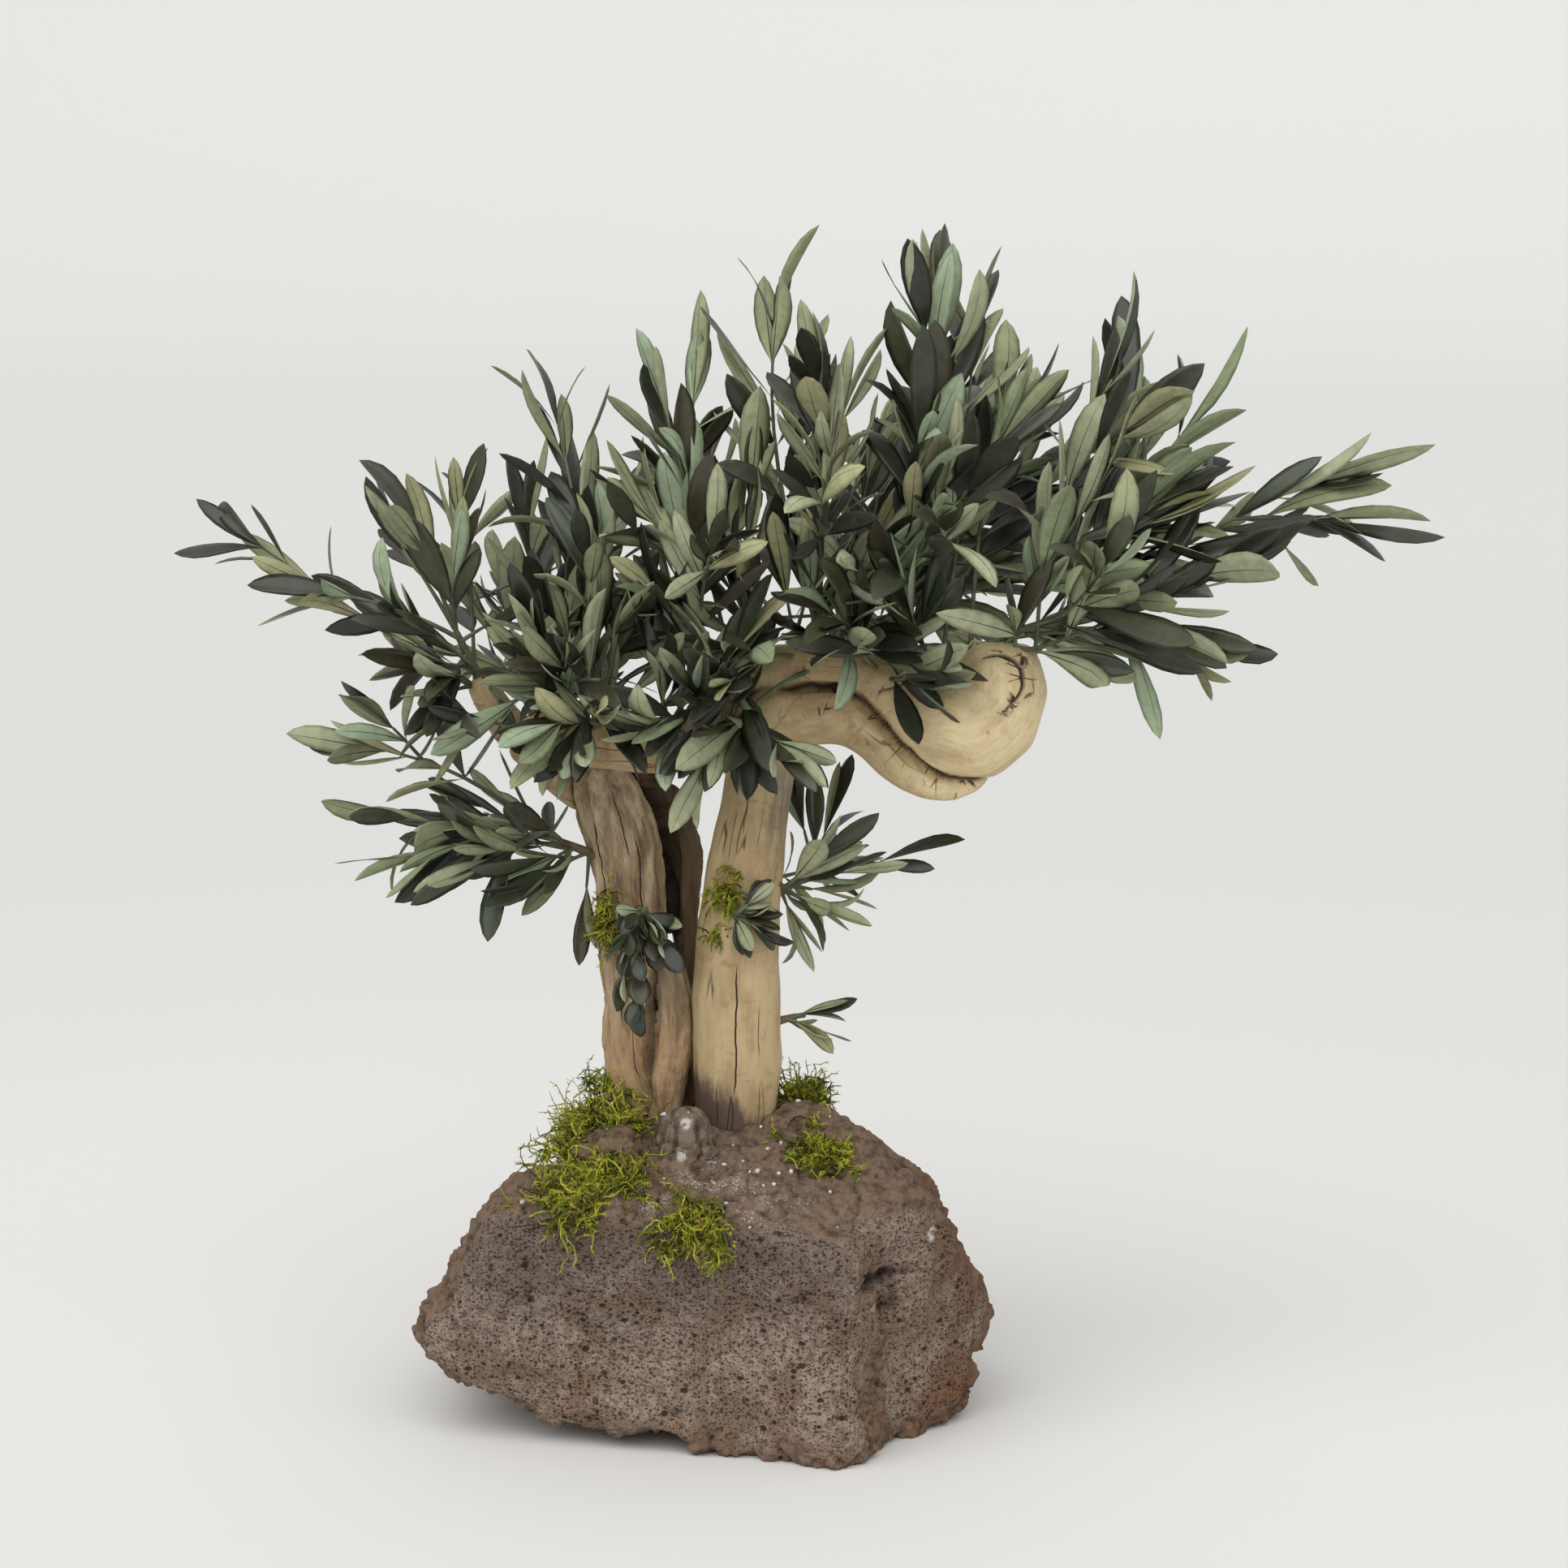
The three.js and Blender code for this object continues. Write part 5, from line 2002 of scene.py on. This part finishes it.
    def spur(self, growth: Growth) -> Array:
        """Grows a short shoot straight from the wood near the stem.

        Args:
            growth: the growing mass.

        Returns:
            Its middle line.
        """
        mass, rng = growth.mass, growth.rng
        astray = rng.normal(0, 1, 3) * np.array(self.spur_spread)
        away = unit(UP + np.array([0, -2.0, 0]) * rng.random())
        start, normal = self.on_wood(np.array(mass.root) + astray + self.spur_lift * away)
        heading = unit(normal + rng.uniform(-0.5, 0.3) * UP + rng.normal(0, 0.45, 3))
        steps = np.linspace(0, rng.uniform(*self.spur_length) * mass.leaf, self.rings)[:, None]
        return start + heading * steps + UP * rng.uniform(-0.002, 0.003) * steps**2

    def on_wood(self, place: Array) -> tuple[Array, Array]:
        """Finds the nearest place on the wood.

        Args:
            place: a place near it.

        Returns:
            The place on the wood, just below its skin, and the wood's outward direction there.
        """
        spot, normal, _, _ = self.wood.find_nearest(Vector(place * MM))
        return np.array(spot - normal * MM) / MM, np.array(normal)

    def is_clear(self, places: Array, gap: float) -> bool:
        """Tells whether places lie outside wood and stone.

        Args:
            places: the places to test.
            gap: how far outside they must lie.

        Returns:
            True when all are clear.
        """
        for place in places:
            for tree in (self.wood, self.stone):
                spot, normal, _, _ = tree.find_nearest(Vector(place * MM))
                if (Vector(place * MM) - spot).dot(normal) < gap * MM:
                    return False
        return True

    def leaf_out(self, growth: Growth, path: Array, bare: float, limit: float) -> None:
        """Sets a tip leaf and pairs of leaves on one shoot, each pair turned a quarter from the last.

        Args:
            growth: the growing mass.
            path: the shoot's middle line.
            bare: share of its foot without leaves.
            limit: how far the leaves may reach, as a share of the mass's space.
        """
        rng = growth.rng
        spans = norm(np.diff(path, axis=0), axis=1)
        distance = np.concatenate([[0], np.cumsum(spans)])
        turn = rng.random() * math.pi
        spread = rng.uniform(*self.open_angle)
        tones = (int(rng.choice(len(LEAF_TOPS), p=LEAF_TOP_SHARES)),
                 int(rng.choice(len(LEAF_UNDERS), p=LEAF_UNDER_SHARES)))
        ending = unit(path[-1] - path[-2])
        self.set_leaf(growth, Bud(path[-1], ending, 0.0, turn, self.tip_leaf, limit, tones))
        least, more = self.pair_leaf
        back = self.first_pair
        pair = 0
        while distance[-1] - back > bare * distance[-1]:
            place = distance[-1] - back
            foot = np.array([np.interp(place, distance, column) for column in path.T])
            ahead = np.array([np.interp(place + self.look_ahead, distance, column) for column in path.T])
            axis = unit(ahead - foot + (path[-1] - path[-2]) * 1e-3)
            share = min(1.0, pair / self.opening_pairs)
            opening = self.tip_angle + (spread - self.tip_angle) * share
            for half in (0.0, math.pi):
                if rng.random() > self.fallen:
                    bud = Bud(foot, axis, opening, turn + half, least + more * share, limit, tones)
                    self.set_leaf(growth, bud)
            turn += math.pi / 2
            back += self.spacing * rng.uniform(*self.spacing_spread)
            pair += 1

    def set_leaf(self, growth: Growth, bud: Bud) -> None:
        """Sets one leaf where it is clear of wood and stone and within reach.

        Args:
            growth: the growing mass.
            bud: where the leaf starts.
        """
        mass, rng = growth.mass, growth.rng
        level = np.cross(UP, bud.axis)
        level = unit(level if norm(level) > 1e-3 else np.array([1.0, 0.0, 0.0]))
        other = np.cross(bud.axis, level)
        is_tip = bud.opening <= self.tip_opening
        most_droop = self.droop[is_tip]
        for _ in range(self.tries):
            angle = bud.turn + rng.normal(0, self.turn_stray)
            opening = max(0.0, bud.opening + rng.normal(0, self.open_stray))
            side = math.cos(angle) * level + math.sin(angle) * other
            droop = rng.uniform(0, most_droop)
            along = math.cos(opening) * bud.axis + math.sin(opening) * side - UP * droop
            length = self.length * mass.leaf * bud.size * rng.uniform(*self.length_spread)
            reach = bud.foot + unit(along) * length * np.array(self.tested)[:, None]
            spot = norm((reach[-1] - np.array(mass.middle)) / np.array(mass.radii))
            if spot < bud.limit and self.is_clear(reach, self.leaf_gap):
                break
        else:
            return
        upper = side if is_tip else bud.axis - along * float(bud.axis @ along)
        outward = unit(np.array(mass.middle) - np.array(mass.root))
        stray = rng.normal(0, self.upper_stray, 3)
        upper = unit(upper) + self.upward * UP + mass.facing * outward + stray
        if rng.random() < self.flipped / (1 + 3 * mass.facing):
            upper = -upper
        width = length * self.width * mass.broad * rng.uniform(*self.width_spread)
        strays = rng.random(2) < self.tone_stray
        top = int(rng.integers(len(LEAF_TOPS))) if strays[0] else bud.tones[0]
        under = int(rng.integers(len(LEAF_UNDERS))) if strays[1] else bud.tones[1]
        growth.leaves.append(Leaf(bud.foot, along, upper, length, width, top, under))


@dataclass(frozen=True)
class Tuft:
    """One cushion of moss: how many strands, how long, and how far they hang."""

    node: str
    strands: int
    length: float
    hang: float


@dataclass
class Moss:
    """Stringy moss: thousands of curled strands in ragged clumps."""

    ground: BVHTree
    tufts: tuple[Tuft, ...] = (
        Tuft("moss_foot", 860, 26, 0.06),
        Tuft("moss_slope", 800, 23, 0.12),
        Tuft("moss_face", 360, 18, 0.24),
        Tuft("moss_right", 360, 16, 0.06),
        Tuft("moss_behind", 380, 20, 0.05),
        Tuft("moss_trunk_left", 200, 15, 0.25),
        Tuft("moss_trunk_right", 180, 14, 0.25),
    )
    radius: float = 0.8
    curl: float = 0.42
    joints: int = 8
    lock: int = 10
    sprawl: float = 0.45
    low: float = 0.3
    clump: float = 17.0
    clump_least: float = 0.02
    clump_level: float = 0.25
    clump_contrast: float = 2.0
    lock_stray: float = 0.42
    lock_upward: float = 0.25
    lock_lean: float = 0.6
    lock_width: float = 2.4
    sunk: float = 1.5
    strand_lean: float = 0.4
    strand_spread: Pair = (0.45, 1.15)
    long_strand: float = 1.7
    long_share: float = 0.06
    thinned: float = 0.35
    radius_spread: Pair = (0.6, 1.2)
    tone_shares: Station = (0.42, 0.34, 0.12, 0.12)
    leaflet: float = 3.2
    leaflet_spread: Pair = (0.5, 1.3)
    leaflet_stray: float = 0.9
    leaflet_half: float = 0.42
    seed: int = 300

    def build(self) -> None:
        """Makes the strands and their leaflets."""
        rng = np.random.default_rng(self.seed)
        paths = np.concatenate([self.strands(tuft, rng) for tuft in self.tufts])
        thin = np.linspace(1.0, self.thinned, self.joints)
        radii = self.radius * thin * rng.uniform(*self.radius_spread, (len(paths), 1))
        kinds = rng.choice(len(MOSS_TONES), len(paths), p=self.tone_shares)
        materials = [finish.material() for finish in MOSS_TONES]
        strands = tubes("moss_strands", paths, radii, 3, kinds, materials)
        settle(strands, [tuft.node for tuft in self.tufts])
        leaflets = self.leaflets(paths, kinds, rng, materials)
        settle(leaflets, [])

    def laid_low(self, points: Array) -> tuple[Array, Array]:
        """Brings points nearer to the wood or stone below them.

        Args:
            points: places in millimetres.

        Returns:
            The lowered places, and the outward directions of what lies below them.
        """
        found = [self.ground.find_nearest(Vector(point * MM)) for point in points]
        spots = np.array([spot for spot, _, _, _ in found]) / MM
        return spots + self.low * (points - spots), np.array([normal for _, normal, _, _ in found])

    def strands(self, tuft: Tuft, rng: np.random.Generator) -> Array:
        """Grows the strands of one cushion from its surface.

        Args:
            tuft: the cushion.
            rng: source of chance.

        Returns:
            Middle lines, strands by joints by three.
        """
        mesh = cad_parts[tuft.node].data
        mesh.calc_loop_triangles()
        corners = np.array([[mesh.vertices[v].co for v in tri.vertices] for tri in mesh.loop_triangles]) / MM
        normals = np.cross(corners[:, 1] - corners[:, 0], corners[:, 2] - corners[:, 0])
        clumps = Noise(self.seed).smooth(corners.mean(axis=1), self.clump)
        dense = np.clip(self.clump_level + self.clump_contrast * clumps, self.clump_least, 1)
        weights = norm(normals, axis=1) * dense
        locks = tuft.strands // self.lock
        chosen = rng.choice(len(weights), locks, p=weights / weights.sum())
        mix = np.sort(rng.random((locks, 2)), axis=1)
        shares = np.stack([mix[:, 0], mix[:, 1] - mix[:, 0], 1 - mix[:, 1]], axis=1)
        roots = (corners[chosen] * shares[..., None]).sum(axis=1)
        astray = rng.normal(0, self.lock_stray, (locks, 3)) * tuft.length
        astray[int(self.sprawl * locks):] = 0
        roots, outward = self.laid_low(roots + astray)
        leans = unit(outward + self.lock_upward * UP + rng.normal(0, self.lock_lean, (locks, 3)))
        member = rng.integers(locks, size=tuft.strands)
        aside = rng.normal(0, self.lock_width, (tuft.strands, 3))
        place = roots[member] + aside - self.sunk * outward[member]
        heading = unit(leans[member] + rng.normal(0, self.strand_lean, (tuft.strands, 3)))
        spread = rng.uniform(*self.strand_spread, (tuft.strands, 1))
        is_long = rng.random((tuft.strands, 1)) < self.long_share
        step = tuft.length * np.where(is_long, self.long_strand, spread) / self.joints
        rows = [place]
        for _ in range(self.joints - 1):
            heading = unit(heading + rng.normal(0, self.curl, heading.shape) - tuft.hang * UP)
            place = place + heading * step
            rows.append(place)
        return np.stack(rows, axis=1)

    def leaflets(self, paths: Array, kinds: Array, rng: np.random.Generator,
                 materials: list[Material]) -> Piece:
        """Sets small pointed leaflets along the strands.

        Args:
            paths: the strands.
            kinds: their tones.
            rng: source of chance.
            materials: the tones.

        Returns:
            The new object.
        """
        foot = np.repeat(paths[:, 1:-1].reshape(-1, 3), 2, axis=0)
        ahead = np.repeat((paths[:, 2:] - paths[:, 1:-1]).reshape(-1, 3), 2, axis=0)
        reach = unit(unit(ahead) + rng.normal(0, self.leaflet_stray, foot.shape)) * self.leaflet
        reach *= rng.uniform(*self.leaflet_spread, (len(foot), 1))
        breadth = unit(np.cross(reach, rng.normal(0, 1, foot.shape))) * self.leaflet_half
        points = np.stack([foot - breadth, foot + breadth, foot + reach], axis=1).reshape(-1, 3)
        faces = np.arange(len(points)).reshape(-1, 3)
        tones = np.repeat(kinds, 2 * (self.joints - 2))
        return add_mesh("moss_leaflets", points, faces, tones, materials)


@dataclass
class ChalkCrumbs:
    """White crumbs lying on the top of the rock."""

    stone: BVHTree
    middle: Pair = (12.0, -62.0)
    spread: Pair = (42.0, 26.0)
    count: int = 46
    largest: float = 2.3
    size_spread: Pair = (0.25, 1.0)
    size_power: float = 1.6
    uneven: Pair = (0.7, 1.2)
    lift: float = 0.3
    drop_from: float = 0.4
    lowest: float = 0.09
    seed: int = 500

    def build(self) -> None:
        """Scatters the crumbs on the rock."""
        rng = np.random.default_rng(self.seed)
        shape = bmesh.new()
        bmesh.ops.create_icosphere(shape, subdivisions=1, radius=1.0)
        ball = np.array([vert.co for vert in shape.verts])
        faces = np.array([[vert.index for vert in face.verts] for face in shape.faces])
        shape.free()
        crumbs, all_faces = [], []
        for _ in range(self.count):
            spot = np.array(self.middle) + rng.normal(0, 1, 2) * np.array(self.spread)
            above = Vector((spot[0] * MM, spot[1] * MM, self.drop_from))
            hit, _, _, _ = self.stone.ray_cast(above, Vector((0, 0, -1)))
            if hit is None or hit.z < self.lowest:
                continue
            size = self.largest * rng.uniform(*self.size_spread) ** self.size_power
            rough = ball * rng.uniform(*self.uneven, (len(ball), 1)) * size * rng.uniform(*self.uneven, 3)
            all_faces.append(faces + len(ball) * len(crumbs))
            crumbs.append(rough + np.array(hit) / MM + UP * self.lift * size)
        joined = np.concatenate(all_faces)
        points, slots = np.concatenate(crumbs), np.zeros(len(joined))
        piece = add_mesh("chalk_crumbs", points, joined, slots, [CHALK.material()])
        settle(piece, [])


@dataclass
class Studio:
    """Pale floor, soft light and the photograph's camera."""

    elevation: float = 10.0
    distance: float = 2600.0
    aim: Point = (47.5, 0.0, 397.0)
    lens: float = 96.9
    sensor: float = 36.0
    floor_sides: int = 96
    floor_rings: tuple[float, ...] = (0.05, 0.4, 0.8, 1.2, 2.0, 5.0)
    floor_flat: float = 8.0
    floor_curve: float = 3.0
    curve_steps: int = 12
    wall: Pair = (11.0, 4.0)
    floor_gap: float = 0.1
    floor_patch: float = 900.0
    floor_shade: float = 0.985
    near_shade_fade: Point = (0.2, 1.8, 0.75)
    far_shade_fade: Point = (5.0, 10.0, 0.25)
    floor_tone: Point = (237, 236, 233)
    far_shade_tone: Point = (213, 213, 211)
    sky: Point = (250, 250, 250)
    sky_strength: float = 0.68
    key_strength: float = 1.62
    key_angle: float = 75.0
    key_from: Point = (-0.4, -0.9, 1.0)
    fill_strength: float = 0.42
    fill_from: Point = (0.7, -0.9, 0.5)

    def build(self) -> None:
        """Sets up floor, light and camera."""
        self.floor()
        self.light()
        self.camera()

    def floor(self) -> None:
        """Lays a round floor whose far rim curves up into a low wall, with painted shade that darkens it
        away from the plant.
        """
        sides = self.floor_sides
        bend = np.linspace(0, math.pi / 2, self.curve_steps)
        wall_radius, wall_height = self.wall
        curve_radii = self.floor_flat + self.floor_curve * np.sin(bend)
        curve_heights = self.floor_curve * (1 - np.cos(bend))
        radii = np.concatenate([self.floor_rings, curve_radii, [wall_radius]])
        heights = np.concatenate([np.zeros(len(self.floor_rings)), curve_heights, [wall_height]])
        steps = np.arange(sides)
        turns = steps * 2 * math.pi / sides
        rings = [
            np.stack([radius * np.cos(turns), radius * np.sin(turns), np.full(sides, height)], axis=1)
            for radius, height in zip(radii, heights)
        ]
        points = np.concatenate(rings) / MM - UP * self.floor_gap
        after = (steps + 1) % sides
        strip = np.stack([steps, sides + steps, sides + after, after], axis=1)
        faces = np.concatenate([sides * ring + strip for ring in range(len(radii) - 1)])
        mix = Recipe("floor", 0.9, 0.0)
        shade = tuple(channel * self.floor_shade for channel in self.floor_tone)
        colour = mix.blend(mix.noise(self.floor_patch, 2), self.floor_tone, shade)
        # painted shade: the floor and wall darken away from the plant, leaving a painted pool of light
        # around it
        colour = mix.blend(mix.attribute("far"), colour, self.far_shade_tone)
        piece = add_mesh("floor", points, faces, np.zeros(len(faces)), [mix.finish(colour)])
        far = piece.data.attributes.new("far", "FLOAT", "POINT")
        shade_fades = [share * ease(radii, low, high) for low, high, share in (self.near_shade_fade, self.far_shade_fade)]
        far.data.foreach_set("value", np.repeat(sum(shade_fades), sides).astype(np.float32))

    def light(self) -> None:
        """Sets a soft sky, a broad key light from the left and a weak fill from the right."""
        scene = bpy.context.scene
        scene.view_settings.view_transform = "Standard"
        world = bpy.data.worlds.new("studio")
        world.use_nodes = True
        sky = world.node_tree.nodes["Background"]
        sky.inputs[0].default_value = linear(self.sky)
        sky.inputs[1].default_value = self.sky_strength
        scene.world = world
        lamps = {"key": (self.key_strength, self.key_from), "fill": (self.fill_strength, self.fill_from)}
        for name, (strength, place) in lamps.items():
            lamp = bpy.data.lights.new(name, "SUN")
            lamp.energy = strength
            lamp.angle = math.radians(self.key_angle)
            holder = bpy.data.objects.new(name, lamp)
            holder.rotation_euler = Vector(place).to_track_quat("Z", "Y").to_euler()
            scene.collection.objects.link(holder)

    def camera(self) -> None:
        """Stands the camera where the photograph was taken from."""
        lens = bpy.data.cameras.new("camera")
        lens.lens = self.lens
        lens.sensor_width = self.sensor
        holder = bpy.data.objects.new("camera", lens)
        tilt = math.radians(self.elevation)
        back = Vector((0, -math.cos(tilt), math.sin(tilt)))
        holder.location = (Vector(self.aim) + back * self.distance) * MM
        holder.rotation_euler = (-back).to_track_quat("-Z", "Y").to_euler()
        bpy.context.scene.collection.objects.link(holder)
        bpy.context.scene.camera = holder


def wood_tree(skins: list[Skin]) -> BVHTree:
    """Makes one search tree of several skins.

    Args:
        skins: the finished skins.

    Returns:
        The tree, in metres.
    """
    points, faces = [], []
    for skin in skins:
        first = len(points)
        points.extend(vert.co.copy() for vert in skin.piece.data.vertices)
        faces.extend([first + corner for corner in face.vertices] for face in skin.piece.data.polygons)
    return BVHTree.FromPolygons(points, faces)


def main() -> None:
    """Builds the bonsai piece by piece."""
    logging.basicConfig(level=logging.INFO, format="%(message)s")
    Studio().build()
    rock = LavaRock().build()
    pale = PaleLimbs().build()
    rough = RoughTrunk().build()
    stone = rock.tree()
    ChalkCrumbs(stone).build()
    Foliage(wood_tree([pale, rough]), stone).build()
    Moss(wood_tree([rock, pale, rough])).build()


if __name__ == "__main__":
    main()
